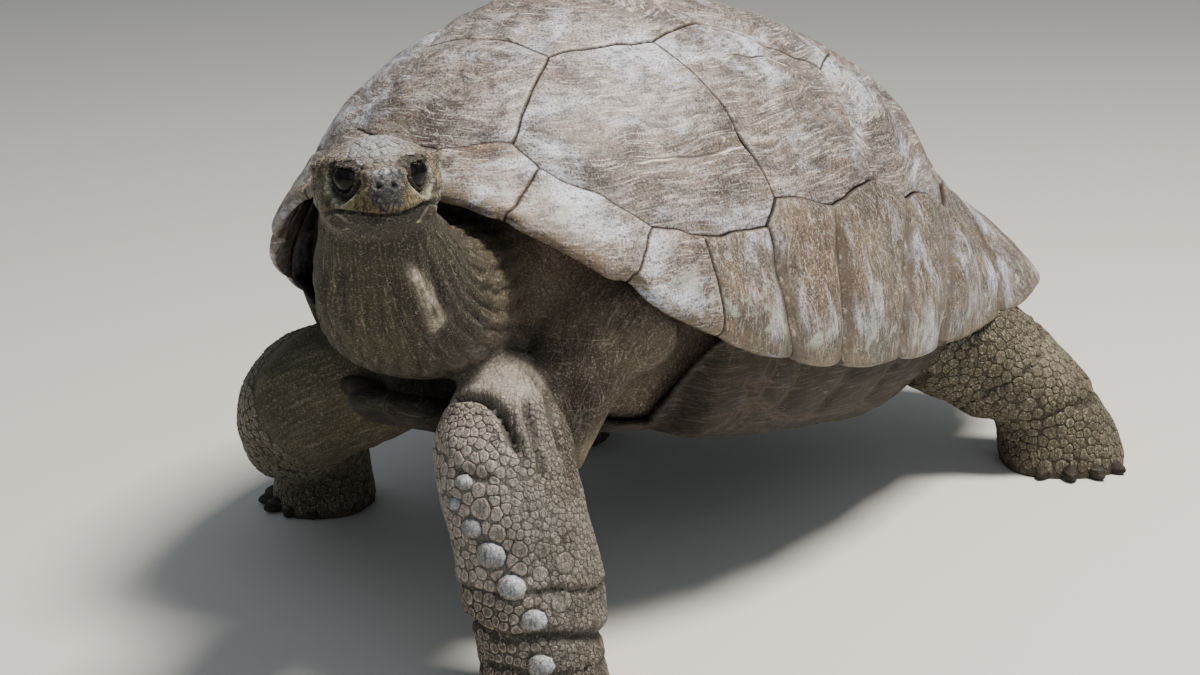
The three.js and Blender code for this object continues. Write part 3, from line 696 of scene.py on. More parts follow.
def make_plate(name, loop):
    kind = name.split("_")[0]
    line, on_rim, side_seam = outline_of(loop)
    outline, side_seam = dome(*line.T), side_seam * valley_at(*line.T)
    middle = line.mean(axis=0)
    heart = dome(*middle)
    span = np.linalg.norm(outline - heart, axis=-1)
    steps = max(4, round((span.mean() - EDGE_STEPS[-1]) / RING_STEP))
    inner = [(EDGE_STEPS[-1], mix(1, 0, k / steps)) for k in range(1, steps)]
    layers = [(d, part, 0) for d, part in reversed([(d, 1) for d in EDGE_STEPS] + inner)]
    layers += [(0.4, 1, 0.45), (1.5, 1, 1), (10, 0.6, 1)]
    rings, notes = [], []
    for from_edge, part, under in layers:
        share = (1 - from_edge / span) * part
        p, q = (middle + (line - middle) * share[:, None]).T
        at = dome(p, q)
        way = outward(dome, p, q)
        gone = (1 - share) * span
        seam, valley = nearest_on(at, outline, ~on_rim, side_seam)
        rim, _ = nearest_on(at, outline, on_rim, side_seam)
        if under:
            height = np.minimum(-PLATE_THICKNESS * under - 4, edge_height - 7 * under)
        else:
            height = edge_height = horn_height(at, gone, share, seam, rim, valley, kind)
        beside, past = scar_notes(name, at, outward(dome, *middle))
        within = smoothly((1.2 - past) / 0.4)
        height = height - (3.4 * hump(beside, 19) + 0.9 * hump(beside, 6)) * within
        if kind in ("marginal", "nuchal", "supracaudal"):
            height = height + rim_curl(p, q)
            at = at + scalloped(p, q)
        rings.append(at + way * height[:, None])
        notes.append((seam, rim, valley))
    way = outward(dome, *middle)
    top = heart + way * horn_height(heart, span.mean(), 0, 99, 99, 0, kind)
    bottom = heart - way * (PLATE_THICKNESS + 4)
    obj, ring, side = ball_of_rings(name + "_horn", np.array(rings), top, bottom)
    notes = np.array([notes[0], *notes, notes[-1]])
    for k, note in enumerate(("from_seam", "from_rim", "valley")):
        note_on(obj, note, notes[ring, k, side])
    note_on(obj, "bloom", bleached(about_shell(points_of(obj))))
    beside, past = scar_notes(name, about_shell(points_of(obj)), way)
    note_on(obj, "beside_scar", beside)
    note_on(obj, "past_scar", past)
    bpy.ops.object.shade_smooth()
    return obj


# Where the rim is broken away: degrees round from the front, width and depth in mm.
CHIPS = [(40.5, 14, 15), (126.8, 9, 8), (147, 16, 7), (19, 10, 5), (107, 8, 4)]


def scalloped(p, q):
    """Each marginal's free edge is rounded, so the rim dips between plates and has chips."""
    degrees = np.degrees(np.arctan2(np.abs(p), -q))
    from_rim = (1 - np.hypot(p, q)) * 420
    seams = np.array(RIM_SEAMS, dtype=float)
    i = np.clip(np.searchsorted(seams, degrees, side="right") - 1, 0, len(seams) - 2)
    share = np.clip((degrees - seams[i]) / (seams[i + 1] - seams[i]), 0, 1)
    full = np.sin(np.pi * share) ** 0.6
    drop = 7.0 * full * smoothly((degrees - 30) / 20) * smoothly((136 - degrees) / 12)
    x, y, _ = dome_parts(p, q)
    gone = sum(depth * hump(np.hypot((degrees - at) * 6.5, from_rim), width)
               for at, width, depth in CHIPS)
    inwards = -np.stack([x, y, np.zeros_like(x)], axis=-1)
    inwards /= np.linalg.norm(inwards, axis=-1, keepdims=True) + 1e-9
    down = np.zeros_like(inwards)
    down[..., 2] = -drop * hump(from_rim, 26) + 0.4 * gone
    return inwards * gone[..., None] + down


def rim_curl(p, q):
    """The marginals between the legs swell and then curl in under their rim."""
    degrees = np.degrees(np.arctan2(np.abs(p), -q))
    from_rim = (1 - np.hypot(p, q)) * 420
    by_bridge = smoothly((degrees - 48) / 14) * smoothly((134 - degrees) / 14)
    return by_bridge * (4 * hump(from_rim - 42, 30) - 9 * hump(from_rim, 17))


plates = {}
FRONT = ("nuchal", "marginal_left_1", "marginal_left_2", "marginal_left_3",
         "marginal_right_1", "marginal_right_2", "marginal_right_3")
for name, loop in PLATES.items():
    plates[name] = make_plate(name, loop)
    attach(plates[name], "root")
    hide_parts(name)
    inner_plate = name.startswith(("vertebral", "costal"))
    finish = "shell_horn" if inner_plate else "rim_horn"
    plates[name].data.materials.append(HORN["front_horn" if name in FRONT else finish])
print(len(plates), "plates,", sum(len(o.data.polygons) for o in plates.values()), "faces")

# %% [markdown]
# ## The plates of the belly
# The plastron is one bony floor under the animal. Between the legs it turns up as the bridge
# and meets the marginals. Its plates meet in shallow grooves: one down the middle and five
# across. It is one stiff board in life, so it is one body here, with the grooves sunk into it.

# %% The plastron's formula
LOBES = [(0, 555), (5, 552), (9, 500), (16, 470), (27, 385), (42, 330), (90, 330), (135, 345),
         (153, 420), (165, 490), (173, 505), (180, 488)]
PLASTRON_LEVEL = -88.0
PLASTRON_THICKNESS = 16.0


def along(pairs, at):
    places, values = np.array(pairs, dtype=float).T
    i = np.clip(np.searchsorted(places, at, side="right") - 1, 0, len(places) - 2)
    t = smoothly((at - places[i]) / (places[i + 1] - places[i]))
    return mix(values[i], values[i + 1], t)


def bridge_at(degrees):
    return smoothly((degrees - 48) / 12) * smoothly((122 - degrees) / 12)


def plastron(p, q):
    angle = np.arctan2(np.abs(p), -q)
    reach = np.hypot(p, q)
    x, y, z = dome_parts(np.sin(angle), -np.cos(angle))
    true_angle = np.arctan2(np.abs(x), -y)
    bridge = bridge_at(np.degrees(angle))
    edge = mix(along(LOBES, np.degrees(true_angle)), 0.95 * np.hypot(x, y), bridge)
    top = mix(PLASTRON_LEVEL + 14, z - 12, bridge)
    turn = np.clip((reach - 0.66) / 0.34, 0, 1) ** 2.2
    return pitched(np.sign(p) * np.sin(true_angle) * edge * reach,
                   -np.cos(true_angle) * edge * reach, mix(PLASTRON_LEVEL, top, turn))


# %% Shape the belly plates
BELLY_SIDES = 336
BELLY_RINGS = 76
BELLY_GROOVE = 3.0
BELLY_GROOVE_WIDTH = 5.5
PAD_LENGTH = 118.0


def pad_turns(at):
    """Counts the pads of the bridge from front to rear; whole numbers are their seams."""
    return (at[..., 1] + 54 + 8 * waves(at, 90, 37)) / PAD_LENGTH


def belly_grooves(at):
    """How far each point is from the nearest seam of the belly."""
    x, y = np.abs(at[..., 0]), at[..., 1]
    crossings = [(-478, 0.55), (-262, 0.12), (-178, -0.1), (150, 0.1), (322, -0.25)]
    ahead = [np.abs(y - start - lean * x - 4 * waves(at, 160, 31)) for start, lean in crossings]
    middle = np.abs(at[..., 0] + 4 * waves(at, 180, 33))
    by_bridge = np.abs(x - 322 - 10 * waves(at, 240, 34)) + 99 * (np.abs(y + 40) > 210)
    turns = pad_turns(at)
    between_pads = np.abs(turns - np.rint(turns)) * PAD_LENGTH + 99 * (x < 318)
    return np.minimum.reduce(ahead + [middle, by_bridge, between_pads])


def bridge_pads(at, reach):
    """The bridge swells outwards in rounded pads between its seams."""
    turn = np.abs(np.sin(np.pi * pad_turns(at)))
    side = smoothly((np.abs(at[..., 0]) - 318) / 20) * smoothly((235 - np.abs(at[..., 1] + 40)) / 40)
    return side * (9.0 * turn ** 0.5 - 4.0) * (reach < 0.99)


def make_plastron():
    turns = (np.arange(BELLY_SIDES) + 0.5) / BELLY_SIDES * 2 * np.pi
    rings, seams = [], []
    steps = [(r / BELLY_RINGS, 0) for r in range(2, BELLY_RINGS + 1)]
    steps += [(1.008, 0.25), (1.011, 0.5), (1.008, 0.75), (0.996, 0.95)]
    steps += [(reach, 1) for reach in (0.97, 0.85, 0.7, 0.4)]
    for reach, up in steps:
        p, q = reach * np.sin(turns), -reach * np.cos(turns)
        at = plastron(p, q)
        way = -outward(plastron, p, q)
        from_seam = belly_grooves(at)
        height = 2 + BELLY_GROOVE * hump(from_seam, BELLY_GROOVE_WIDTH) * (up == 0)
        height = height + 1.3 * waves(at, 140, 35) + 0.35 * waves(at, 38, 36) - bridge_pads(at, reach)
        front_lobe = smoothly((40 - np.degrees(np.arctan2(np.abs(p), -q))) / 16) * (reach > 0.5)
        thick = PLASTRON_THICKNESS + 26 * front_lobe
        height = mix(height, thick, up) + 3 * smoothly((reach - 0.985) / 0.015) * (up == 0)
        height = height + front_lobe * (1 - up) * 10 * smoothly((reach - 0.9) / 0.1) ** 2
        rings.append(at - way * height[:, None])
        seams.append(from_seam)
    zero = np.array(0.0)
    poles = [plastron(zero, zero) + (0, 0, lift) for lift in (3, PLASTRON_THICKNESS)]
    obj, ring, side = ball_of_rings("belly_plates", np.array(rings), *poles)
    far = np.concatenate([[seams[0]], seams, [seams[0]]])
    note_on(obj, "from_seam", far[ring, side])
    no_scars(obj)
    # The front lobe is painted lighter than the rest of the belly: painted light where it reaches out
    # from under the shell.
    note_on(obj, "bloom", 1.4 * smoothly((-330 - points_of(obj)[:, 1]) / 60) - 0.7)
    bpy.ops.object.shade_smooth()
    return obj


belly = make_plastron()
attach(belly, "root")
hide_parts("plastron")
belly.data.materials.append(HORN["belly"])
print("belly plates", len(belly.data.polygons), "faces")

# %% [markdown]
# ## Flesh, first as rough forms
# Legs, neck and tail are each a row of stations: a centre, a half width and a half depth. A
# smooth curve runs through the centres and a ring stands square to it at each step. The skull
# is a row of sections in its own frame. The trunk fills the shell. All of them run into each
# other, as clay does before it is smoothed.

# %% Curves and limbs
def curve_through(stations, t):
    """A centripetal Catmull-Rom curve; t runs from 0 to 1 with equal shares for each span."""
    points = [np.array(s[0], dtype=float) for s in stations]
    points = [2 * points[0] - points[1], *points, 2 * points[-1] - points[-2]]
    spans = len(stations) - 1
    i = min(int(t * spans), spans - 1)
    local = t * spans - i
    p0, p1, p2, p3 = points[i:i + 4]
    d0, d1, d2 = (max(np.linalg.norm(b - a) ** 0.5, 1e-4) for a, b in ((p0, p1), (p1, p2), (p2, p3)))
    m1 = ((p1 - p0) / d0 - (p2 - p0) / (d0 + d1) + (p2 - p1) / d1) * d1
    m2 = ((p2 - p1) / d1 - (p3 - p1) / (d1 + d2) + (p3 - p2) / d2) * d1
    c2 = -3 * p1 + 3 * p2 - 2 * m1 - m2
    c3 = 2 * p1 - 2 * p2 + m1 + m2
    return p1 + m1 * local + c2 * local ** 2 + c3 * local ** 3


def limb(stations, wide_way, sides=72, steps=16, power=0.9):
    spans = len(stations) - 1
    turns = np.arange(sides) / sides * 2 * np.pi
    rings, frames, ts = [], [], np.linspace(0, 1, spans * steps + 1)
    for t in ts:
        i = min(int(t * spans), spans - 1)
        local = smoothly(t * spans - i)
        wide, deep, flat = (mix(stations[i][k], stations[i + 1][k], local) for k in (1, 2, 3))
        ahead = curve_through(stations, min(t + 1e-4, 1)) - curve_through(stations, max(t - 1e-4, 0))
        forward = mix(ahead / np.linalg.norm(ahead), np.array([0, 0, -1.0]), flat)
        forward /= np.linalg.norm(forward)
        aside = np.array(wide_way) - forward * np.dot(forward, wide_way)
        aside /= np.linalg.norm(aside)
        front = np.cross(forward, aside)
        centre = curve_through(stations, t)
        frames.append((centre, aside, front, forward))
        rings.append(centre + np.outer(signed_power(np.cos(turns), power) * wide, aside)
                     + np.outer(signed_power(np.sin(turns), power) * deep, front))
    return np.array(rings), np.array(frames)


SOLE = -270
LIMBS = {
    "foreleg_left": ([0.86, 0.51, 0], [
        ((86, -358, 30), 60, 72, 0), ((120, -470, 40), 60, 76, 0), ((171, -553, 6), 81, 82, 0),
        ((205, -564, -100), 83, 75, 1), ((226, -572, -205), 74, 65, 1),
        ((234, -577, SOLE), 79, 73, 1)]),
    "foreleg_right": ([0.5, -0.86, 0], [
        ((-120, -350, 36), 88, 82, 0), ((-225, -375, -8), 94, 86, 0), ((-320, -300, -64), 97, 81, 0),
        ((-388, -200, -135), 89, 75, 0.6), ((-424, -125, -215), 79, 67, 1),
        ((-434, -110, SOLE), 83, 73, 1)]),
    "hindleg_left": ([0.5, -0.86, 0], [
        ((190, 360, 0), 110, 95, 0), ((275, 440, -50), 108, 92, 0), ((360, 505, -120), 95, 87, 0.3),
        ((428, 552, -200), 87, 87, 1), ((444, 562, SOLE), 91, 91, 1)]),
    "hindleg_right": ([0.86, 0.5, 0], [
        ((-190, 350, 0), 110, 95, 0), ((-250, 370, -50), 108, 95, 0), ((-290, 350, -130), 95, 89, 0.6),
        ((-305, 325, -200), 85, 85, 1), ((-308, 318, SOLE), 89, 89, 1)]),
    "neck": ([1, 0.3, 0], [
        ((10, -380, 160), 115, 105, 0), ((34, -500, 180), 110, 98, 0), ((76, -610, 208), 99, 89, 0),
        ((118, -695, 262), 83, 81, 0), ((148, -754, 330), 63, 61, 0), ((165, -775, 375), 50, 48, 0)]),
    "armpit_left": ([0.86, 0.51, 0], [
        ((195, -320, 150), 85, 75, 0), ((178, -388, 95), 66, 60, 0), ((152, -410, 20), 55, 52, 0),
        ((142, -412, -38), 42, 40, 0)]),
    "tail": ([1, 0, 0], [
        ((0, 460, 0), 66, 52, 0), ((4, 560, -40), 50, 42, 0), ((14, 612, -100), 33, 29, 0),
        ((30, 622, -150), 19, 17, 0), ((36, 622, -168), 9, 9, 0)]),
}

# %% The skull's frame and sections
HEAD_AT = np.array([184.6, -798.4, 381.0])
HEAD_HEADING = math.radians(42)
HEAD_NOSE_UP = math.radians(5)
HEAD_TILT = math.radians(2)
HEAD_TURN = np.array(Matrix.Rotation(HEAD_HEADING, 3, "Z") @ Matrix.Rotation(-HEAD_NOSE_UP, 3, "X")
                     @ Matrix.Rotation(-HEAD_TILT, 3, "Y"))


def from_head(points):
    """[sideways, forwards, up] in the head to the shell's frame."""
    return (np.asarray(points, dtype=float) * (1, -1, 1)) @ HEAD_TURN.T + HEAD_AT


def to_head(points):
    return ((np.asarray(points) - HEAD_AT) @ HEAD_TURN) * (1, -1, 1)


SKULL = [(-80, 30, 24, 30), (-68, 50, 39, 42), (-42, 64, 50, 49), (-14, 65, 53, 49), (12, 58, 50, 47),
         (34, 47, 40, 44), (53, 36, 28, 40), (68, 26, 19, 34), (76, 13, 9, 27)]


def skull_rings(sides=72, steps=6):
    places = np.array([s[0] for s in SKULL], dtype=float)
    fine = np.interp(np.linspace(0, len(places) - 1, (len(places) - 1) * steps + 1),
                     np.arange(len(places)), places)
    turns = np.arange(sides) / sides * 2 * np.pi
    over = np.sin(turns) > 0
    square = np.where(over, 0.9, 0.7)
    rings = []
    for f in fine:
        wide, up, down = (np.interp(f, places, [s[k] for s in SKULL]) for k in (1, 2, 3))
        side = wide * signed_power(np.cos(turns), square)
        height = np.where(over, up, down) * signed_power(np.sin(turns), square)
        rings.append(from_head(np.stack([side, np.full(sides, f), height], axis=-1)))
    return np.array(rings)


# %% The trunk that fills the shell
FILL_DOME = [(0, 0.6), (30, 0.66), (52, 0.8), (64, 0.94), (110, 0.94), (125, 0.82),
             (150, 0.72), (180, 0.72)]
FILL_FLOOR = [(0, 0.88), (35, 0.97), (64, 0.97), (115, 0.97), (140, 0.97), (180, 0.93)]
HORN_DEPTH = 23.0
SWELL_OF_OPENINGS = 34.0


def trunk_rings(sides=120):
    degrees = (np.arange(sides) + 0.5) / sides * 360
    folded = np.where(degrees > 180, 360 - degrees, degrees)
    unit = np.stack([np.sin(np.radians(degrees)), -np.cos(np.radians(degrees))])

    def under_dome(share):
        p, q = unit * along(FILL_DOME, folded) * share
        return dome(p, q) - outward(dome, p, q) * HORN_DEPTH

    def over_belly(share):
        p, q = unit * along(FILL_FLOOR, folded) * share
        return plastron(p, q) + outward(plastron, p, q) * (PLASTRON_THICKNESS + 1)

    high, low = under_dome(1), over_belly(1)
    away = high * (1, 1, 0)
    away /= np.linalg.norm(away, axis=1, keepdims=True)
    openness = (1 - bridge_at(folded))[:, None]
    skirt = [mix(high, low, t) + away * openness * SWELL_OF_OPENINGS * math.sin(math.pi * t)
             for t in np.linspace(0.08, 0.92, 12)]
    hidden = [under_dome(s) for s in np.linspace(0.12, 0.96, 8)]
    lining = [over_belly(s) for s in (0.85, 0.6, 0.3)]
    zero = np.array(0.0)
    poles = dome(zero, zero) + (0, 0, -HORN_DEPTH), plastron(zero, zero) + (0, 0, PLASTRON_THICKNESS + 7)
    return np.array(hidden + [high] + skirt + [low] + lining), poles, len(hidden) + 1

# %% [markdown]
# ## One skin
# The rough forms are joined and remeshed into small even squares, which melts them into a
# single closed skin. Smoothing rounds the places where limb meets body. The part that the
# shell hides is then thinned out, and the head and neck get smaller squares for their folds.

# %% Join the forms and melt them together
VOXEL = 0.0068
rough, guides = [], []


def add_form(name, rings, first, last):
    obj, _, _ = ball_of_rings(name, rings, first, last)
    rough.append(obj)


for name, (wide_way, stations) in LIMBS.items():
    rings, frames = limb(stations, wide_way)
    add_form("form_" + name, rings, rings[0].mean(axis=0), rings[-1].mean(axis=0))
    guides.append((name, rings, frames))
rings = skull_rings()
add_form("form_head", rings, rings[0].mean(axis=0), rings[-1].mean(axis=0))
guides.append(("head", rings, None))
rings, trunk_poles, hidden_rings = trunk_rings()
add_form("form_trunk", rings, *trunk_poles)
guides.append(("trunk", rings, None))

bpy.ops.object.select_all(action="DESELECT")
for obj in rough:
    obj.select_set(True)
bpy.context.view_layer.objects.active = rough[0]
bpy.ops.object.join()
skin = rough[0]
skin.name = skin.data.name = "tortoise_skin"
melt = skin.modifiers.new("melt", "REMESH")
melt.mode = "VOXEL"
melt.voxel_size = VOXEL
ease = skin.modifiers.new("ease", "SMOOTH")
ease.factor = 0.6
ease.iterations = 7
apply_all(skin)
print("skin melted:", len(skin.data.polygons), "faces")

# %% Find which part of the body each point belongs to
PARTS = [name for name, *_ in guides]
TRUNK, HEAD, NECK = (PARTS.index(name) for name in ("trunk", "head", "neck"))


def guide_tree():
    points = np.concatenate([rings.reshape(-1, 3) for _, rings, _ in guides])
    tree = kdtree.KDTree(len(points))
    for i, point in enumerate(points):
        tree.insert(point, i)
    tree.balance()
    sizes = [rings.shape[:2] for _, rings, _ in guides]
    part = np.concatenate([np.full(count * sides, k) for k, (count, sides) in enumerate(sizes)])
    ring = np.concatenate([np.repeat(np.arange(count), sides) for count, sides in sizes])
    return tree, part, ring


GUIDE = guide_tree()


def read_guide(points):
    """Which part each point lies on, and the number of its ring there."""
    tree, part, ring = GUIDE
    nearest = np.array([tree.find(point)[1] for point in points])
    return part[nearest], ring[nearest]


def place_on_limb(name, points, ring):
    """Millimetres along a limb from its first station, and the angle round it."""
    frames = guides[PARTS.index(name)][2]
    steps = np.linalg.norm(np.diff(frames[:, 0], axis=0), axis=1)
    start = np.concatenate([[0], np.cumsum(steps)])
    centre, aside, front, forward = np.moveaxis(frames[np.minimum(ring, len(frames) - 1)], 1, 0)
    gap = points - centre
    length = start[np.minimum(ring, len(frames) - 1)] + np.einsum("ij,ij->i", gap, forward)
    angle = np.arctan2(np.einsum("ij,ij->i", gap, front), np.einsum("ij,ij->i", gap, aside))
    return length, angle


at = about_shell(points_of(skin))
part, ring = read_guide(at)
last_ring = len(guides[TRUNK][1]) - 1
hidden = (part == TRUNK) & ((ring < hidden_rings - 1) | (ring > last_ring - 3))
group = skin.vertex_groups.new(name="hidden")
group.add([int(i) for i in np.flatnonzero(hidden)], 1.0, "REPLACE")
thin = skin.modifiers.new("thin", "DECIMATE")
thin.vertex_group = "hidden"
thin.ratio = 1 - 0.96 * float(hidden.mean())
apply_all(skin)
print("hidden share", round(float(hidden.mean()), 2), "thinned:", len(skin.data.polygons), "faces")

# %% Give the neck and head smaller squares
def subdivide_where(obj, wanted):
    pick(obj)
    mesh = obj.data
    centres = np.empty(len(mesh.polygons) * 3)
    mesh.polygons.foreach_get("center", centres)
    chosen = wanted(about_shell(centres.reshape(-1, 3)))
    bpy.ops.object.mode_set(mode="EDIT")
    bpy.ops.mesh.select_mode(type="FACE")
    bpy.ops.mesh.select_all(action="DESELECT")
    bpy.ops.object.mode_set(mode="OBJECT")
    mesh.polygons.foreach_set("select", chosen)
    bpy.ops.object.mode_set(mode="EDIT")
    bpy.ops.mesh.subdivide(number_cuts=1, smoothness=0)
    bpy.ops.object.mode_set(mode="OBJECT")


def on_head_or_neck(points):
    part, ring = read_guide(points)
    return (part == HEAD) | ((part == NECK) & (ring > 20))


def on_face(points):
    side, forward, up = to_head(points).T
    return (forward > 2) & (np.abs(side) < 75) & (up > -45) & (up < 70) & (forward < 95)


subdivide_where(skin, on_head_or_neck)
subdivide_where(skin, on_face)
ease = skin.modifiers.new("ease", "SMOOTH")
ease.factor = 0.5
ease.iterations = 2
apply_all(skin)
pick(skin)
bpy.ops.object.shade_smooth()
skin.data.calc_loop_triangles()
print("skin:", len(skin.data.loop_triangles), "triangles")
for name in ("trunk", "foreleg_left", "foreleg_right", "hindleg_left", "hindleg_right",
             "head", "neck", "tail"):
    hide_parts(name)
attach(skin, "root")
skin.data.materials.append(HIDE)

# %% [markdown]
# ## Folds of the skin
# The skin of an old tortoise is too large for it. Down the neck it hangs in gathered folds, at
# the shoulder in a curtain from the rim of the shell, and at the elbow it doubles over. Each
# point first gets a share of every part of the body, evened out over its neighbours, so that
# the folds of one part fade into those of the next.

# %% How much each point belongs to each part
def evened(values, rounds):
    """Each point takes the mean of itself and its neighbours, some rounds over."""
    flat = np.empty(len(skin.data.edges) * 2, dtype=int)
    skin.data.edges.foreach_get("vertices", flat)
    a, b = flat.reshape(-1, 2).T
    count = values.shape[-1]
    share = 1.0 + np.bincount(a, minlength=count) + np.bincount(b, minlength=count)
    for _ in range(rounds):
        values = np.array([(row + np.bincount(a, row[b], count) + np.bincount(b, row[a], count)) / share
                           for row in values])
    return values


def own_tree(rings):
    tree = kdtree.KDTree(rings.shape[0] * rings.shape[1])
    for i, point in enumerate(rings.reshape(-1, 3)):
        tree.insert(point, i)
    tree.balance()
    return tree


OWN_TREES = {name: own_tree(rings) for name, rings, frames in guides if frames is not None}


def on_limb(name, points):
    """Length along a limb and angle round it for points anywhere near it."""
    sides = guides[PARTS.index(name)][1].shape[1]
    ring = np.array([OWN_TREES[name].find(point)[1] for point in points]) // sides
    return place_on_limb(name, points, ring)


# %% Pleats and drawn folds
def pleats(turns, sharp=0.7):
    """Rounded folds side by side: 0 on their backs, -1 in the crease between two."""
    return np.abs(np.sin(np.pi * turns)) ** sharp - 1


def along_line(at, line):
    """Distance to a drawn line and the share of the way along it."""
    line = np.array(line, dtype=float)
    steps = np.linalg.norm(np.diff(line, axis=0), axis=1)
    starts = np.concatenate([[0], np.cumsum(steps)])
    near, share = np.full(len(at), 1e9), np.zeros(len(at))
    for a, b, start, step in zip(line, line[1:], starts, steps):
        t = np.clip((at - a) @ (b - a) / step ** 2, 0, 1)
        gap = np.linalg.norm(at - (a + t[:, None] * (b - a)), axis=1)
        closer = gap < near
        near[closer], share[closer] = gap[closer], (start + t[closer] * step) / starts[-1]
    return near, share


# Each fold: how wide and how high it stands (or how deep it sinks), and where it runs.
FOLDS = [
    (6, -15, [(100, -562, 72), (121, -573, 86), (140, -576, 91), (156, -577, 92), (172, -580, 88),
              (187, -585, 81), (198, -591, 73), (209, -598, 61), (219, -604, 46), (226, -609, 26)]),
    (15, 7, [(118, -552, 100), (150, -552, 112), (180, -548, 108), (205, -556, 90), (224, -570, 68)]),
    (4.5, -9, [(196, -556, 92), (207, -566, 81), (217, -575, 71), (225, -581, 61), (235, -588, 44),
             (244, -594, 23), (248, -597, 6)]),
    (5, -4, [(150, -632, 22), (185, -640, 20), (215, -630, 18)]),
    (8, 8, [(198, -772, 296), (197, -752, 271), (196, -739, 254), (194, -726, 237), (189, -710, 219),
            (181, -691, 203)]),
    (5, -5, [(184, -797, 300), (180, -775, 262), (172, -745, 220), (160, -705, 180)]),
    (6, -5, [(212, -750, 305), (208, -728, 262), (200, -700, 222), (190, -662, 190)]),
    (6, -6, [(205, -740, 318), (215, -700, 290), (218, -650, 255), (210, -590, 225)]),
    (6, -5, [(196, -720, 330), (214, -665, 310), (216, -600, 280), (205, -540, 250)]),
    (7, -6, [(140, -812, 300), (120, -792, 262), (110, -765, 225), (104, -730, 190)]),
    (6, -5, [(112, -800, 296), (86, -774, 250), (70, -740, 205), (66, -700, 170)]),
    (7, -7, [(150, -490, 112), (181, -497, 94), (203, -517, 84), (224, -539, 69), (242, -550, 46),
             (254, -556, 24)]),
    (6, -6, [(128, -478, 140), (133, -455, 122), (146, -441, 106), (163, -448, 89), (180, -465, 74),
             (196, -482, 52)]),
]


def drawn_folds(at):
    height, crease = np.zeros(len(at)), np.zeros(len(at))
    for width, rise_by, line in FOLDS:
        gap, share = along_line(at, line)
        near = hump(gap, width) * smoothly(share * 5) * smoothly((1 - share) * 5)
        height += rise_by * near
        if rise_by < 0:
            lip = hump(gap - 2.1 * width, width) * smoothly(share * 5) * smoothly((1 - share) * 5)
            height -= 0.25 * rise_by * lip
            crease = np.maximum(crease, near * min(1, -rise_by / 7))
    return height, crease


# %% The relief of each part
def neck_relief(at, length, angle):
    turns = angle / (2 * np.pi)
    sway, twist = 0.5 * waves(at, 190, 41), 0.1 * waves(at, 60, 42)
    coarse = pleats(26 * turns + sway + twist, 0.62)
    fine = pleats(57 * turns + 1.2 * sway + 0.3 * waves(at, 60, 44), 0.8)
    loose = 0.5 + 0.5 * smoothly((440 - length) / 140)
    height = (4.2 + 1.4 * waves(at, 120, 45)) * coarse * loose
    height = height + (0.7 + 1.2 * smoothly((360 - length) / 160)) * fine
    across = pleats(length / 21 + 0.8 * waves(at, 85, 43), 0.9)
    return height + 0.3 * across, 0.95 * coarse ** 2 * loose + 0.55 * fine ** 4


def trunk_relief(at, *_):
    turns = np.arctan2(at[:, 0], -at[:, 1]) / (2 * np.pi)
    curtain = pleats(86 * turns + 1.1 * waves(at, 190, 51) + 0.25 * waves(at, 60, 54), 0.8)
    curtain = curtain * smoothly((at[:, 1] + 520) / 90)
    net = pleats(at @ (0.012, 0.012, 0.034) + 1.2 * waves(at, 110, 53), 0.9)
    strength = np.clip(0.65 + 0.5 * waves(at, 230, 52), 0.1, 1.3)
    return 5.0 * strength * curtain + 1.6 * net, 0.8 * strength * curtain ** 2 + 0.35 * net ** 4


RING_CREASES = {
    "foreleg_left": [(360, 3.5, 4.5), (414, 6, 9), (450, 3.5, 4)],
    "foreleg_right": [(180, 4, 5), (300, 3.5, 4), (395, 4, 6)],
    "hindleg_left": [(120, 4, 4), (240, 3.5, 4), (330, 4, 4)],
    "hindleg_right": [(120, 4, 4), (210, 3.5, 4), (270, 4, 4)],
    "tail": [(80, 3, 2), (110, 3, 2), (140, 3, 2), (165, 2.5, 1.5), (188, 2.5, 1.2)],
}


def limb_relief(name):
    def relief(at, length, _):
        height = 1.9 * waves(at, 85, 61) + 0.8 * waves(at, 34, 62)
        crease = np.zeros(len(at))
        for i, (place, width, depth) in enumerate(RING_CREASES.get(name, [])):
            gap = length - place - 9 * waves(at, 130, 70 + i)
            height -= depth * hump(gap, width) - 0.4 * depth * hump(gap + 2.4 * width, 1.6 * width)
            crease = np.maximum(crease, hump(gap, width) * min(1, depth / 5))
        return height, crease
    return relief


# %% [markdown]
# ## The head
# Seen from in front the head is a box with a flat grey crown, thick rough brows over deep eyes,
# a dark nose box with two small round nostrils, and a horny beak whose sides are streaked ochre
# and black. The lower jaw sits back behind the upper, and a flap of skin closes the corner of
# the mouth. Everything here is placed in the head's own frame: sideways, forwards and up.

# %% The relief of the head
BROW = [(20, 62, 27), (37, 49, 36), (51, 26, 38), (57, 2, 33), (60, -18, 24)]
MOUTH = [(0, 78, -20), (26, 68, -18.5), (44, 44, -16), (55, 20, -17), (61, -4, -23)]
NOSTRIL = np.array([7.75, 72.0, 10.0])
CORNER_FLAP = np.array([49.0, 17.0, -32.0])
EARDRUM = np.array([62.0, -36.0, 2.0])


def mirrored(at):
    head_at = to_head(at)
    head_at[:, 0] = np.abs(head_at[:, 0])
    return head_at


def mouth_gap(folded):
    """How far above the line of the mouth each point is."""
    forward, up = folded[:, 1], folded[:, 2]
    line = np.array(MOUTH, dtype=float)[::-1]
    return up - np.interp(forward, line[:, 1], line[:, 2])


def round_spot(folded, centre, width):
    return hump(np.linalg.norm(folded - centre, axis=1), width)


def beak_streaks(at, side, forward):
    """Dark and ochre stripes from the nose down to the edge of the beak."""
    round_beak = (side * 0.75 + (78 - forward) * 0.75) / 5.2
    return pleats(round_beak + 0.9 * waves(at * (1, 1, 0.5), 26, 85), 0.8)


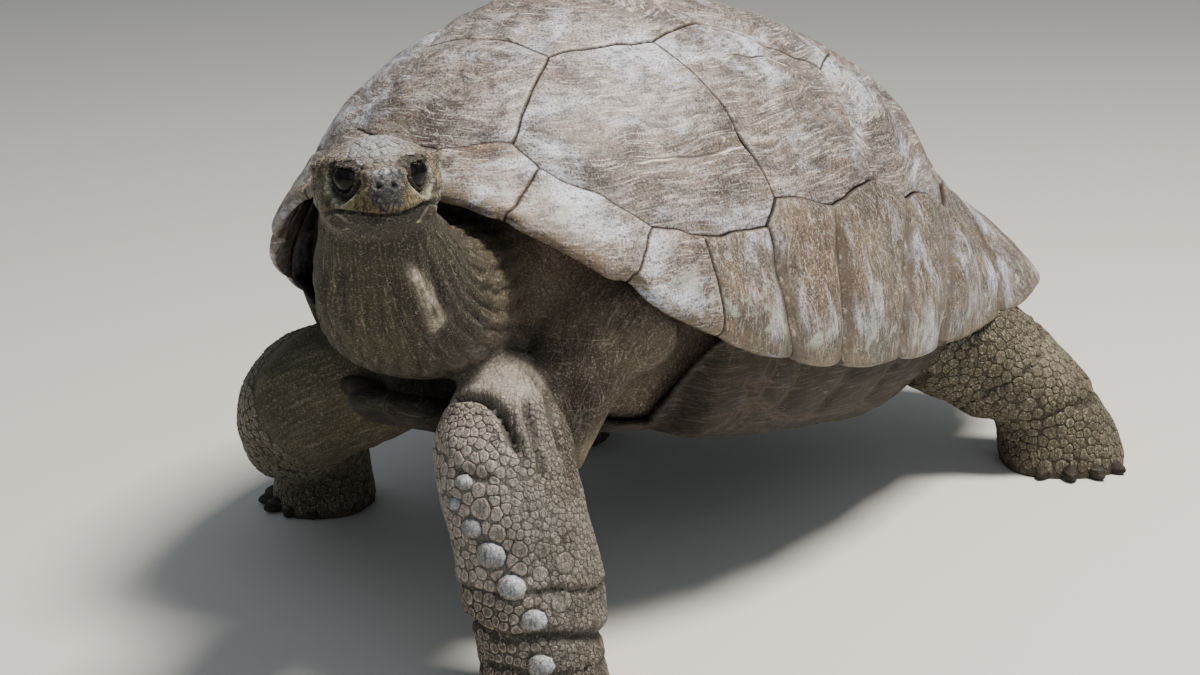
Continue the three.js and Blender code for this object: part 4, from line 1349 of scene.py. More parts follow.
def head_relief(at, *_):
    folded = mirrored(at)
    side, forward, up = folded.T
    height = 0.9 * waves(at, 26, 81) + 0.45 * waves(at, 11, 82)
    brow, _ = along_line(folded, BROW)
    height += hump(brow, 8) * (7 + 1.5 * waves(at, 10, 83) + 1.0 * waves(at, 5.5, 84))
    height -= 3.0 * hump(brow - 15, 6) * (up < 28) * smoothly(forward / 20)
    height += 2.5 * hump(side, 13) * smoothly((forward - 50) / 12) * smoothly((up + 14) / 10)
    height -= 4.0 * round_spot(folded, (29, 58, 6), 9)
    # Nostrils, then the folds that run from them down to the beak's edge.
    pit = np.linalg.norm(folded - NOSTRIL, axis=1)
    height += 1.3 * hump(pit - 6, 2.2) - 6 * hump(pit, 2.9)
    gap = mouth_gap(folded)
    in_front = smoothly((forward + 12) / 12)
    height -= 6.5 * hump(gap, 2.4) * in_front
    height += 1.6 * hump(gap - 6, 4) * in_front
    height -= 4.5 * smoothly((-gap - 1) / 5) * smoothly((gap + 44) / 24) * in_front
    beak = smoothly((forward - 12) / 20) * smoothly((26 - gap) / 12) * (gap > 0)
    streaks = beak_streaks(at, side, forward)
    height += 0.9 * streaks * beak
    flap = 9.0 * round_spot(folded, CORNER_FLAP + (4, -7, 0), 14)
    height += flap - 2.5 * round_spot(folded, CORNER_FLAP, 7)
    height += 3.0 * round_spot(folded, (61, -14, 6), 20)
    drum = np.linalg.norm(folded - EARDRUM, axis=1)
    height += 1.4 * hump(drum - 14, 3.5) - 2.2 * smoothly((12 - drum) / 5)
    crown = smoothly((up - 34) / 8)
    height -= crown * 2.0 * (1 - hump(side, 50))
    crease = np.maximum.reduce([hump(gap, 3.6) * in_front, hump(pit, 3.6), 0.3 * streaks ** 2 * beak])
    net = pleats(side / 13 + 0.8 * waves(at, 40, 86)) * pleats(forward / 15 + 0.8 * waves(at, 44, 87))
    height -= 0.9 * net * crown
    return height, np.clip(crease + 0.5 * net * crown, 0, 1)


# %% Push the skin into its folds
def neck_takes_over(shares, at):
    """The gathered skin of the neck runs on over the front of the trunk."""
    taken = shares[TRUNK] * smoothly((-470 - at[:, 1]) / 70) * smoothly((at[:, 2] - 90) / 40)
    shares[NECK] += taken
    shares[TRUNK] -= taken
    return shares


def part_shares(at):
    nearest, _ = read_guide(at)
    shares = evened(np.array([(nearest == k).astype(float) for k in range(len(PARTS))]), 12)
    return neck_takes_over(shares, at)


RELIEFS = {"neck": neck_relief, "trunk": trunk_relief, "head": head_relief}


def relief_of(at, shares):
    """Height and darkness of the folds, and each point's place along its own part."""
    height, crease = drawn_folds(at)
    place = np.zeros((len(at), 3))
    for k, name in enumerate(PARTS):
        mine = np.flatnonzero(shares[k] > 0.01)
        share = shares[k][mine]
        length, angle = on_limb(name, at[mine]) if name in OWN_TREES else (0, 0)
        relief = RELIEFS.get(name) or limb_relief(name)
        rise_by, dark = relief(at[mine], length, angle)
        height[mine] += rise_by * share
        crease[mine] = np.maximum(crease[mine], np.clip(dark, 0, 1) * share)
        if name == "head":
            local = to_head(at[mine])[:, [0, 2, 1]]
        elif name == "trunk":
            local = at[mine]
        else:
            radius = 80.0
            local = np.stack([radius * np.cos(angle), radius * np.sin(angle), length], axis=1)
        place[mine] += local * share[:, None]
    return height, crease, place


before = about_shell(points_of(skin))
shares = part_shares(before)
height, crease, place = relief_of(before, shares)
after = before + normals_of(skin) * height[:, None]
print("folds from", round(float(height.min()), 1), "to", round(float(height.max()), 1), "mm")

# %% [markdown]
# ## Sunken eyes with lids
# The eyeball is about 30 mm across and looks sideways and forwards. Inside the opening the skin
# goes behind the ball, at its edge the lid hugs the ball with a thick rim, and outside the rim
# it rises steeply to the brow and more gently to the cheek. The opening has a flat top under
# the brow and narrows downwards.

# %% Sockets and lids
EYE_RADIUS = 18.5
EYE_CENTRE = np.array([30.0, 26.4, 17.0])
EYE_WAY = math.radians(55)
OPENING_HALF_WIDTH = 15.8
OPENING_TOP, OPENING_BOTTOM = 11.5, 15.5


def eye_axes():
    out = np.array([math.sin(EYE_WAY), math.cos(EYE_WAY), 0.0])
    rearwards = np.array([math.cos(EYE_WAY), -math.sin(EYE_WAY), 0.0])
    return rearwards, np.array([0.0, 0.0, 1.0]), out


def round_the_eye(folded):
    """Place before the eye as [rearwards, up, out], and the rings of the opening round it."""
    rear, up, out = ((folded - EYE_CENTRE) @ axis for axis in eye_axes())
    power = np.where(up > 0, 3.4, 1.8)
    tall = np.where(up > 0, OPENING_TOP, OPENING_BOTTOM)
    ring = (np.abs(rear / OPENING_HALF_WIDTH) ** power + np.abs(up / tall) ** power) ** (1 / power)
    return rear, up, out, ring


def ball_depth(gap):
    """How far out the ball's face is; past its edge, the slope goes on as a cone."""
    edge = 0.85 * EYE_RADIUS
    inner = np.sqrt(EYE_RADIUS ** 2 - np.minimum(gap, edge) ** 2)
    return inner - np.maximum(gap - edge, 0) * 1.1


def with_sockets(at):
    head_at = to_head(at)
    flip = np.sign(head_at[:, :1]) * (1, 0, 0) + (0, 1, 1)
    folded = head_at * flip
    rear, up, out, ring = round_the_eye(folded)
    near = (out > -2) & (ring < 3) & (folded[:, 0] > 4)
    ball = ball_depth(np.hypot(rear, up))
    lid = ball + 1.2 + 2.2 * hump(ring - 1.17, 0.13)
    lid += 0.35 * np.sin(ring * 30 + rear * 0.3) * (ring > 1.25)
    wanted = mix(ball - 3.5, lid, smoothly((ring - 0.97) / 0.07))
    reach = np.where(up > 0, 0.32, 0.55)
    wanted = mix(wanted, out, smoothly((ring - 1.28) / reach))
    shift = np.where(near, wanted - out, 0)
    moved = folded + shift[:, None] * eye_axes()[2]
    return from_head(np.where(near[:, None], moved * flip, head_at)), np.where(near, ring, 9.0), up


LEGS = [k for k, name in enumerate(PARTS) if "leg" in name]
after, lid_ring, _ = with_sockets(after)
on_leg = shares[LEGS].sum(axis=0)
flat = smoothly((SOLE + 14 - after[:, 2]) / 9) * (on_leg > 0.5)
after[:, 2] = np.maximum(mix(after[:, 2], SOLE, flat), SOLE)
set_points(skin, on_floor(after))
pick(skin)
bpy.ops.object.shade_smooth()

# %% [markdown]
# ## The colours of the hide
# The colours follow named zones: grey on the crown and the legs where dust and sun bleach
# them, dark olive under the neck and in the armpits, ochre on the cheeks and the beak's sides,
# bluish grey on the nose. The dark olive of the neck, armpits, trunk and shaded legs is partly
# their own colour and partly painted shade, and the lit foreleg is lighter partly as painted
# light. Creases are darkened as painted shade. Skin and scales read the same function.

# %% Colour by zone
def shade_of(code):
    return np.array(paint(code)[:3])


def lay(colours, amount, code):
    return mix(colours, shade_of(code), np.clip(amount, 0, 1)[:, None])


# The neck, trunk, armpit, right foreleg and hind legs are darker than the lit left foreleg: partly their
# own colour, partly painted shade.
PART_COLOURS = {
    "foreleg_left": "8b8781", "foreleg_right": "504c38", "hindleg_left": "45402f",
    "hindleg_right": "4c4638", "neck": "373521", "trunk": "504739", "head": "756f66",
    "tail": "5a5448", "armpit_left": "463e32"}


def beside_leg(at):
    """How far to the outer rear side of the lit foreleg's middle a point lies."""
    middle = np.interp(at[:, 2], [-270, -205, -100, 6], [-92, -96, -111, -134])
    return at[:, :2] @ (0.861, 0.509) - middle


def strands(at, way, size, seed):
    """Unevenness drawn out into strands along one way."""
    way = np.array(way, dtype=float) / np.linalg.norm(way)
    return waves(at - 0.93 * np.outer(at @ way, way), size, seed)


def hide_colours(at, shares, crease, lid_ring):
    colours = sum(np.outer(shares[k], shade_of(PART_COLOURS[name])) for k, name in enumerate(PARTS))
    cloud, small, tiny = waves(at, 90, 91), waves(at, 30, 92), waves(at, 9, 93)
    colours = colours * (1 + 0.1 * cloud + 0.07 * small + 0.05 * tiny)[:, None]
    # The legs get darker towards the floor.
    darker_towards_floor = smoothly((-150 - at[:, 2]) / 80) * shares[LEGS].sum(axis=0)
    colours = lay(colours, 0.6 * darker_towards_floor, "4d4637")
    # The side of the neck that faces the foreleg is darkened as painted shade.
    beside_neck = (at[:, :2] - (118, -695)) @ np.array((0.91, 0.40))
    colours = colours * (1 - 0.5 * smoothly((beside_neck - 5) / 50) * shares[NECK])[:, None]
    # The lit foreleg is darker and finer behind; its wrist is painted dark brown, most on the front and
    # inner side, as painted shade.
    lit, beside = shares[PARTS.index("foreleg_left")], beside_leg(at)
    colours = lay(colours, 0.6 * lit * smoothly((beside - 5) / 55), "5c574d")
    painted_wrist_shade = lit * smoothly((-85 - at[:, 2]) / 60)
    colours = lay(colours, painted_wrist_shade * (0.3 + 0.5 * smoothly((10 - beside) / 60)), "3a3328")
    # The skin under the rim is lightened as painted light, the hollow behind the cap of the elbow is
    # darkened as painted shade, and that cap is dusty.
    painted_light_under_rim = hump(np.linalg.norm(at - (150, -440, 185), axis=1), 110)
    colours = lay(colours, 0.55 * painted_light_under_rim, "7a6c5a")
    elbow = hump(np.linalg.norm(at - (170, -540, 100), axis=1), 60)
    colours = lay(colours, 0.5 * elbow, "a09a90")
    behind = at[:, :2] @ (0.66, 0.755) + 256 + 6 * small
    hollow = smoothly(behind / 12) * smoothly((-395 - at[:, 1]) / 50) * smoothly((at[:, 2] + 25) / 30)
    colours = lay(colours, 0.85 * hollow * smoothly((150 - at[:, 2]) / 30) * (at[:, 0] > 90), "352d24")
    armpit = hump(np.linalg.norm(at - (205, -410, -20), axis=1), 26)
    colours = lay(colours, 0.7 * armpit, "a39a84")
    # The fold at the base of the neck is painted pale and streaked where light catches it: a painted
    # highlight.
    gap, share = along_line(at, FOLDS[4][2])
    painted_light_on_fold = hump(gap, 5.5 + 4 * share) * smoothly(share * 4 + 0.3) * smoothly((1 - share) * 5 + 0.3)
    colours = lay(colours, painted_light_on_fold * (0.85 + 0.3 * strands(at, (-16, 74, -84), 3, 96)), "c4b8a8")
    shin = hump(np.linalg.norm(at - (455, 500, -90), axis=1), 60)
    colours = lay(colours, 0.5 * shin, "8a8170")
    colours = head_colours(colours, at, shares[HEAD], tiny, small, lid_ring)
    # Creases are darkened as painted shade.
    return np.clip(colours * (1 - 0.8 * np.clip(crease, 0, 1))[:, None], 0, 1)


def head_colours(colours, at, share, tiny, small, lid_ring):
    folded = mirrored(at)
    side, forward, up = folded.T
    gap = mouth_gap(folded)
    specks, flakes = waves(at, 6, 94), waves(at, 16, 95)
    cheek = smoothly((forward + 30) / 20) * smoothly((30 - up) / 12) * smoothly((gap + 2) / 6)
    colours = lay(colours, share * cheek * (0.75 + 0.3 * small), "5a5136")
    colours = lay(colours, share * cheek * np.clip(0.9 * flakes, 0, 0.7), "8a7c56")
    between_flakes = np.clip(-1.2 * flakes - 0.3 * specks + 0.15, 0, 0.95)
    colours = lay(colours, share * cheek * between_flakes, "262316")
    beak = smoothly((forward - 16) / 16) * smoothly((24 - gap) / 10) * (gap > 0)
    streaks = beak_streaks(at, side, forward)
    colours = lay(colours, share * beak * (0.85 + 0.6 * streaks), "75683a")
    colours = lay(colours, share * beak * np.clip(-streaks * 1.7 - 0.1 + 0.4 * small, 0, 1), "1f1c13")
    lores = hump(side - 42, 9) * hump(up + 2, 11) * smoothly((forward - 20) / 15)
    colours = lay(colours, share * lores * (0.6 + 0.25 * specks), "b0a688")
    brow, _ = along_line(folded, BROW)
    colours = lay(colours, share * hump(brow, 13) * (0.85 + 0.3 * tiny), "3f3424")
    brow_flecks = np.clip(0.7 * specks + 0.3 * tiny, 0, 1)
    colours = lay(colours, share * hump(brow - 2, 9) * brow_flecks, "9c8763")
    crown = smoothly((up - 31) / 7) * smoothly((33 - side) / 12)
    colours = lay(colours, share * crown * (0.85 + 0.1 * specks), "93959a")
    colours = lay(colours, share * crown * np.clip(0.8 * waves(at, 15, 97) - 0.1, 0, 0.6), "514f50")
    nose = smoothly((forward - 50) / 8) * smoothly((21 + 3 * flakes - side) / 9)
    nose *= smoothly((gap - 5 + 2 * small) / 8)
    colours = lay(colours, share * nose * 0.97, "34373d")
    # The top of the nose is flecked pale blue-grey: a painted highlight.
    bridge = hump(side, 13) * smoothly((forward - 48) / 10) * smoothly((up - 17) / 8)
    colours = lay(colours, share * bridge * np.clip(0.6 + 0.7 * specks, 0, 1), "b4b8c1")
    # The lower jaw under the beak is painted near black: partly its own dark colour, partly painted
    # shade.
    jaw_in_painted_shade = smoothly(-gap / 3) * smoothly((forward + 20) / 20)
    colours = lay(colours, share * jaw_in_painted_shade * 0.96, "17180f")
    # The flap at the corner of the mouth has a pale edge and a darker middle; both are painted at full
    # strength on the lit side and weaker on the other, as painted light and shade.
    flap = np.linalg.norm(folded - CORNER_FLAP, axis=1)
    painted_sunlight = share * mix(0.35, 1.0, to_head(at)[:, 0] > 0)
    colours = lay(colours, painted_sunlight * hump(flap - 14, 2.8) * np.clip(0.75 + 0.4 * flakes, 0, 1), "c4bfae")
    colours = lay(colours, painted_sunlight * hump(flap, 9) * np.clip(0.6 + 0.6 * tiny, 0, 1), "544334")
    rim = hump(lid_ring - 1.74, 0.1)
    low = smoothly((EYE_CENTRE[2] + 6 - up) / 9)
    # Inside the pale rim the lids and the socket are painted near black, partly the lids' own dark skin
    # and partly painted shade in the sunken socket; the skin behind the ball is painted black as shade.
    colours = lay(colours, smoothly((1.7 - lid_ring) / 0.2) * 0.94, "15140f")
    colours = lay(colours, rim * low * np.clip(0.55 + 0.6 * flakes, 0.05, 1), "c3c4b8")
    return lay(colours, smoothly((1.02 - lid_ring) / 0.05), "0c0a08")


def note_vectors(obj, name, kind, values):
    layer = obj.data.attributes.new(name, kind, "POINT")
    field = "color" if kind == "FLOAT_COLOR" else "vector"
    layer.data.foreach_set(field, np.ascontiguousarray(values, dtype=np.float32).ravel())


def with_alpha(colours):
    return np.concatenate([colours, np.ones((len(colours), 1))], axis=1)


note_vectors(skin, "along", "FLOAT_VECTOR", place * 0.001)

# %% [markdown]
# ## Eyes
# A tortoise's eye is nearly all dark: a black pupil in a dark brown iris, under a wet, slightly
# bulging cornea that gives the one sharp highlight on the whole animal.

# %% Eyeballs
CORNEA_BULGE = 0.9


def make_eye(name, side):
    bpy.ops.mesh.primitive_uv_sphere_add(segments=48, ring_count=36, radius=1)
    obj = bpy.context.object
    obj.name = obj.data.name = name + "_wet"
    unit = points_of(obj)
    rearwards, up, out = (axis * (side, 1, 1) for axis in eye_axes())
    gaze = out * math.cos(0.12) + up * math.sin(0.12)
    lifted = up * math.cos(0.12) - out * math.sin(0.12)
    away = np.degrees(np.arccos(np.clip(unit[:, 2], -1, 1)))
    radius = EYE_RADIUS - 0.4 + CORNEA_BULGE * smoothly((34 - away) / 16)
    local = unit[:, :1] * rearwards * side + unit[:, 1:2] * lifted + unit[:, 2:] * gaze
    set_points(obj, on_floor(from_head(EYE_CENTRE * (side, 1, 1) + local * radius[:, None])))
    if signed_volume(obj) < 0:
        obj.data.flip_normals()
    note_on(obj, "from_pupil", np.radians(away) * EYE_RADIUS)
    bpy.ops.object.shade_smooth()
    obj.data.materials.append(WET_EYE)
    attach(obj, "root")
    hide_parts(name)
    return obj


for name, side in (("eye_left", 1), ("eye_right", -1)):
    make_eye(name, side)

# %% [markdown]
# ## Horny scales
# The legs are armoured with separate horny scales. On the lit foreleg they are rounded and
# sunken in their middle, with worn pale rims, and a row of big blue-grey studs runs down the
# front. Higher up and behind they get small. The other legs carry rough pebbly scales, the
# crown of the head flat irregular plates. The scales are spread at random but never too close,
# each takes the cell that its neighbours leave it, and all of one limb are one mesh.

# %% Spread the roots of the scales
after = about_shell(points_of(skin))
skin.data.calc_loop_triangles()
corners = np.empty(len(skin.data.loop_triangles) * 3, dtype=int)
skin.data.loop_triangles.foreach_get("vertices", corners)
corners = corners.reshape(-1, 3)
SURFACE = BVHTree.FromPolygons(after.tolist(), corners.tolist())


def roots_on(allowed, radius_at, seed, fixed=(), tries=14):
    """Random places on the skin, each farther from the others than their radii allow."""
    rng = np.random.default_rng(seed)
    mine = corners[allowed[corners].all(axis=1)]
    a, b, c = after[mine.T]
    area = np.linalg.norm(np.cross(b - a, c - a), axis=1) / 2
    count = int(area.sum() / 60) * tries // 4
    face = rng.choice(len(mine), count, p=area / area.sum())
    s, t = rng.random((2, count))
    s, t = np.where(s + t > 1, 1 - s, s), np.where(s + t > 1, 1 - t, t)
    spots = a[face] + (b - a)[face] * s[:, None] + (c - a)[face] * t[:, None]
    radii = radius_at(spots) * rng.uniform(0.82, 1.18, count)
    kept = np.zeros((count + len(fixed), 4))
    kept[:len(fixed)] = np.array(fixed, dtype=float).reshape(-1, 4)
    total = len(fixed)
    for spot, radius in zip(spots, radii):
        gap = kept[:total, :3] - spot
        reach = 0.86 * (kept[:total, 3] + radius)
        if not (np.einsum("ij,ij->i", gap, gap) < reach * reach).any():
            kept[total] = *spot, radius
            total += 1
    return kept[:total]


# %% Cut each scale's outline and build them all as one mesh
SCALE_SIDES = 10
SCALE_GAP = 0.35
# Share of the outline and share of the height, for a hollow scale and for a domed one.
HOLLOW = np.array([(1.0, -1.5), (0.965, 0.6), (0.86, 1.0), (0.5, 0.72)])
DOMED = np.array([(1.0, -1.5), (0.96, 0.28), (0.8, 0.64), (0.44, 0.92)])


def snapped(points):
    """Nearest point of the skin and the way out of it there."""
    found = [SURFACE.find_nearest(point)[:2] for point in points.tolist()]
    return np.array([f[0] for f in found]), np.array([f[1] for f in found])


def outlines(roots, radii, normals, domed):
    """For each scale, how far its outline lies from its root along ten ways."""
    pick_way = np.where(np.abs(normals[:, 2:]) < 0.9, [(0.0, 0, 1)], [(1.0, 0, 0)])
    first = np.cross(pick_way, normals)
    first /= np.linalg.norm(first, axis=1, keepdims=True)
    second = np.cross(normals, first)
    turns = np.arange(SCALE_SIDES) / SCALE_SIDES * 2 * np.pi
    ways = first[:, None] * np.cos(turns)[:, None] + second[:, None] * np.sin(turns)[:, None]
    reach = np.repeat((mix(1.5, 1.0, domed > 0.7) * radii)[:, None], SCALE_SIDES, axis=1)
    reach *= 1 + 0.12 * np.cos(2 * turns) * (domed > 0.7)[:, None]
    for i in range(len(roots)):
        gap = roots - roots[i]
        distance = np.linalg.norm(gap, axis=1)
        near = np.flatnonzero((distance > 0.01) & (distance < 1.35 * (radii + radii[i]) + 3))
        towards = gap[near] / distance[near, None]
        border = (distance[near] ** 2 + radii[i] ** 2 - radii[near] ** 2) / (2 * distance[near])
        facing = ways[i] @ towards.T
        cut = np.where(facing > 0.12, border / np.maximum(facing, 0.12), 1e9)
        if len(near):
            reach[i] = np.minimum(reach[i], cut.min(axis=1))
    reach = np.maximum(reach, 0.4 * radii[:, None])
    softer = 0.84 * reach + 0.08 * (np.roll(reach, 1, axis=1) + np.roll(reach, -1, axis=1))
    return ways, np.minimum(reach, softer) - SCALE_GAP


def make_scales(name, roots, domed, height_of, colour_of, unwrap):
    count = len(roots)
    spots, normals = snapped(roots[:, :3])
    radii = roots[:, 3]
    ways, reach = outlines(spots, radii, normals, domed)
    edge, edge_normals = snapped((spots[:, None] + ways * reach[..., None]).reshape(-1, 3))
    edge = edge.reshape(count, SCALE_SIDES, 3)
    way_out = edge_normals.reshape(count, SCALE_SIDES, 3) + normals[:, None]
    way_out /= np.linalg.norm(way_out, axis=2, keepdims=True)
    height = height_of(spots, radii) * (1 + 2.8 * smoothly((domed - 0.7) / 0.3))
    height = height[:, None, None]
    share = domed[:, None]
    rows = []
    for hollow, dome_step in zip(HOLLOW, DOMED):
        out = mix(hollow[0], dome_step[0], share)[..., None]
        up = mix(hollow[1], dome_step[1], share)[..., None]
        lift = np.where(up < 0, up, up * height)
        rows.append(spots[:, None] + (edge - spots[:, None]) * out + way_out * lift)
    top = spots + normals * (mix(0.5, 1.0, domed) * height[:, 0, 0])[:, None]
    bottom = spots - normals * 2.2
    rings = len(rows)
    bpy.ops.mesh.primitive_uv_sphere_add(segments=SCALE_SIDES, ring_count=rings + 1, radius=1)
    obj = bpy.context.object
    obj.name = obj.data.name = name
    unit = points_of(obj)
    ring = np.rint(np.arccos(np.clip(-unit[:, 2], -1, 1)) / np.pi * (rings + 1)).astype(int)
    side = np.rint(np.arctan2(unit[:, 1], unit[:, 0]) / (2 * np.pi) * SCALE_SIDES)
    side = side.astype(int) % SCALE_SIDES
    layers = np.stack([np.repeat(bottom[:, None], SCALE_SIDES, 1), *rows,
                       np.repeat(top[:, None], SCALE_SIDES, 1)], axis=1)
    many = obj.modifiers.new("many", "ARRAY")
    many.count = count
    many.use_relative_offset = False
    many.use_constant_offset = True
    many.constant_offset_displace = (0, 0, 0)
    apply_all(obj)
    set_points(obj, on_floor(layers[:, ring, side].reshape(-1, 3)))
    if signed_volume(obj) < 0:
        obj.data.flip_normals()
    # The inner rings are the worn top; the outer ones run down between the scales and are painted dark
    # there as shade.
    worn = np.array([0.0, 0.0, 0.5, 1.0, 0.5, 0.45])
    colours = colour_of(spots, domed, np.tile(worn[ring], (count, 1)))
    # The studs get a pale blue-white painted highlight on their side towards the light.
    towards_painted_light = (layers[:, ring, side] - spots[:, None]) @ (0.5, 0.3, 0.8)
    painted_sunlight = smoothly((towards_painted_light / radii[:, None] + 0.1) / 0.8)
    colours = mix(colours, shade_of("c6cfd9"), (0.65 * painted_sunlight * (domed > 0.7)[:, None])[..., None])
    note_vectors(obj, "hide", "FLOAT_COLOR", with_alpha(colours.reshape(-1, 3)))
    note_vectors(obj, "along", "FLOAT_VECTOR", points_of(obj))
    note_on(obj, "polish", np.repeat(smoothly((domed - 0.7) / 0.2), len(ring)))
    lay_out_map(obj, ring, side, rings, unwrap(spots))
    bpy.ops.object.shade_smooth()
    obj.data.materials.append(SCALE)
    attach(obj, "root")
    print(name, count, "scales,", len(obj.data.polygons), "faces")
    return obj


PATCH = 0.003
RING_OUT = np.array([1.0, 0.8, 0.66, 0.5, 0.26, 0.0])


def lay_out_map(obj, ring, side, rings, places):
    """One small patch for each scale, at its root's place on the unrolled limb."""
    layer = obj.data.uv_layers.get("OFBake") or obj.data.uv_layers.new(name="OFBake")
    loops = np.empty(len(obj.data.loops), dtype=int)
    obj.data.loops.foreach_get("vertex_index", loops)
    scale, point = loops // len(ring), loops % len(ring)
    at_pole = (ring[point] == 0) | (ring[point] == rings + 1)
    turn = (side[point] + 0.5 * at_pole) / SCALE_SIDES
    out = RING_OUT[ring[point]]
    angle = turn * 2 * np.pi
    corner = np.stack([np.cos(angle), np.sin(angle)], axis=1) * out[:, None] * PATCH / 2
    layer.data.foreach_set("uv", (places[scale] + corner).astype(np.float32).ravel())


# %% Where the scales go on each limb, and how big they are
STUDS = [((172, -643, 12), 11.0), ((183, -650, -41), 14.0), ((206, -644, -70), 19.0),
         ((230, -637, -106), 18.5), ((252, -628, -146), 16.5), ((259, -627, -200), 16.5),
         ((158, -646, -16), 9.5)]
RINGS_OF_HORN = [((272, -594, -83), 13.0), ((236, -629, -86), 9.5), ((236, -629, -62), 10.0),
                 ((196, -645, -16), 12.0), ((214, -640, -44), 10.5), ((254, -610, -64), 9.5),
                 ((270, -600, -128), 13.0), ((254, -616, -92), 9.5)]


def on_cap(at):
    return hump(np.linalg.norm(at - (165, -545, 105), axis=1), 52)


def in_front(at):
    """1 on the front and inner half of the lit foreleg, 0 on its outer rear half."""
    return smoothly((30 - beside_leg(at)) / 50)


def radius_foreleg_left(at):
    radius = mix(3.3, 6.5, in_front(at)) * (1 + 0.12 * waves(at, 60, 101))
    radius *= 1 - 0.35 * smoothly((at[:, 2] - 20) / 70)
    radius *= 1 - 0.25 * smoothly((-120 - at[:, 2]) / 80)
    return np.maximum(radius * (1 - 0.3 * on_cap(at)), 2.6)


def radius_pebbles(at):
    return 6.6 * (1 + 0.22 * waves(at, 70, 102)) * (1 - 0.25 * smoothly((at[:, 2] + 40) / 120))


def radius_head(at):
    folded = mirrored(at)
    crown = smoothly((folded[:, 2] - 28) / 10)
    return mix(3.4, 5.6, crown) * (1 + 0.2 * waves(at, 30, 103))


def radius_tail(at):
    return 4.6 * (1 + 0.2 * waves(at, 50, 104))


def height_of(at, radii):
    return 0.75 + 0.13 * radii


def height_foreleg_left(at, radii):
    return height_of(at, radii) * (0.5 + 0.5 * in_front(at))


def colour_of(seed, rim_code, rim_share, worn_where=None):
    def colours(spots, domed, worn):
        nearest = part_shares_at(spots)
        base = hide_colours(spots, nearest, np.zeros(len(spots)), np.full(len(spots), 9.0))
        rng = np.random.default_rng(seed)
        base = base * rng.uniform(0.82, 1.15, len(spots))[:, None]
        stud = smoothly((domed - 0.7) / 0.2)[:, None]
        base = mix(base, shade_of("7d858f"), stud)
        share = rim_share * (worn_where(spots)[:, None] if worn_where else 1)
        rim = mix(base, shade_of(rim_code), share)
        rim = mix(rim, shade_of("6d655b"), stud * 0.7)
        # The outer rings are painted near black: painted shade in the gaps between scales.
        dark = base * 0.2
        worn = worn[..., None]
        return np.where(worn > 0.5, mix(base[:, None], rim[:, None], (worn - 0.5) * 2),
                        mix(dark[:, None], base[:, None], worn * 2))
    return colours


def part_shares_at(at):
    nearest, _ = read_guide(at)
    return neck_takes_over(np.array([(nearest == k).astype(float) for k in range(len(PARTS))]), at)


def unrolled(name, full_length):
    def places(at):
        length, angle = on_limb(name, at)
        return np.stack([0.03 + 0.94 * (angle / (2 * np.pi) % 1),
                         0.03 + 0.94 * np.clip(length / full_length, 0, 1)], axis=1)
    return places


def unrolled_head(at):
    side, forward, up = to_head(at).T
    return np.stack([0.03 + 0.94 * (np.arctan2(up, side) / (2 * np.pi) % 1),
                     0.03 + 0.94 * np.clip((forward + 90) / 180, 0, 1)], axis=1)


def allowed_on(name, start):
    k = PARTS.index(name)
    mine = shares[k] > 0.5
    places = np.flatnonzero(mine)
    length, _ = on_limb(name, before[places])
    mine[places] = length > start
    on_dome = on_cap(before) > 0.5 if name == "foreleg_left" else False
    return mine & (crease < 0.4) & (after[:, 2] > SOLE + 8) & ~on_dome


def allowed_on_head():
    side, forward, _ = mirrored(before).T
    gap = mouth_gap(mirrored(before))
    nose = (forward > 46) & (side < 24)
    beak = (gap < 24) & (forward > 10)
    flat = (gap > 2) & (lid_ring > 1.8) & (crease < 0.6)
    return (shares[HEAD] > 0.6) & (forward < 62) & ~nose & ~beak & flat


def domes(roots, fixed_domes, tall, seed):
    rng = np.random.default_rng(seed)
    domed = np.clip(rng.normal(tall, 0.16, len(roots)), 0, 0.6)
    domed[:len(fixed_domes)] = fixed_domes
    return domed


LEG_STARTS = {"foreleg_left": 175, "foreleg_right": 130, "hindleg_left": 120, "hindleg_right": 110}
covered = np.zeros(len(before))
for seed, (name, start) in enumerate(LEG_STARTS.items(), 200):
    lit = name == "foreleg_left"
    fixed = [(*spot, radius) for spot, radius in STUDS + RINGS_OF_HORN] if lit else []
    radius_at = radius_foreleg_left if lit else radius_pebbles
    allowed = allowed_on(name, start)
    covered += allowed
    roots = roots_on(allowed, radius_at, seed, fixed)
    fixed_domes = [1.0] * len(STUDS) + [0.0] * len(RINGS_OF_HORN) if lit else []
    domed = domes(roots, fixed_domes, 0.12 if lit else 0.4, seed)
    colours = colour_of(seed, "b9a99c", 0.58, in_front) if lit else colour_of(seed, "77705c", 0.3)
    heights = height_foreleg_left if lit else height_of
    make_scales("scales_" + name, roots, domed, heights, colours, unrolled(name, 560))
roots = roots_on(allowed_on_head(), radius_head, 210)
make_scales("scales_head", roots, domes(roots, [], 0.5, 210), lambda at, radii: 0.35 + 0.09 * radii,
            colour_of(210, "b6b8be", 0.18), unrolled_head)
roots = roots_on(allowed_on("tail", 60), radius_tail, 211)
make_scales("scales_tail", roots, domes(roots, [], 0.4, 211), height_of, colour_of(211, "8a8270", 0.3),
            unrolled("tail", 260))

covered = evened(np.clip(covered, 0, 1)[None], 3)[0]
# Skin under the scales is darkened by half: painted shade in the gaps between them.
hide = hide_colours(before, shares, crease, lid_ring) * (1 - 0.5 * covered)[:, None]
note_vectors(skin, "hide", "FLOAT_COLOR", with_alpha(hide))
# Thorns scratch the flank in front of the bridge and the armpit.
flank = hump(np.linalg.norm(before - (185, -370, 85), axis=1), 95)
note_on(skin, "scratched", flank * (shares[TRUNK] + shares[PARTS.index("armpit_left")]))

# %% [markdown]
# ## Claws
# Giant tortoises have five blunt claws on each forefoot and four on each hind foot. They are
# worn cones of dark horn that stick out of the foot at floor level and curve down a little.

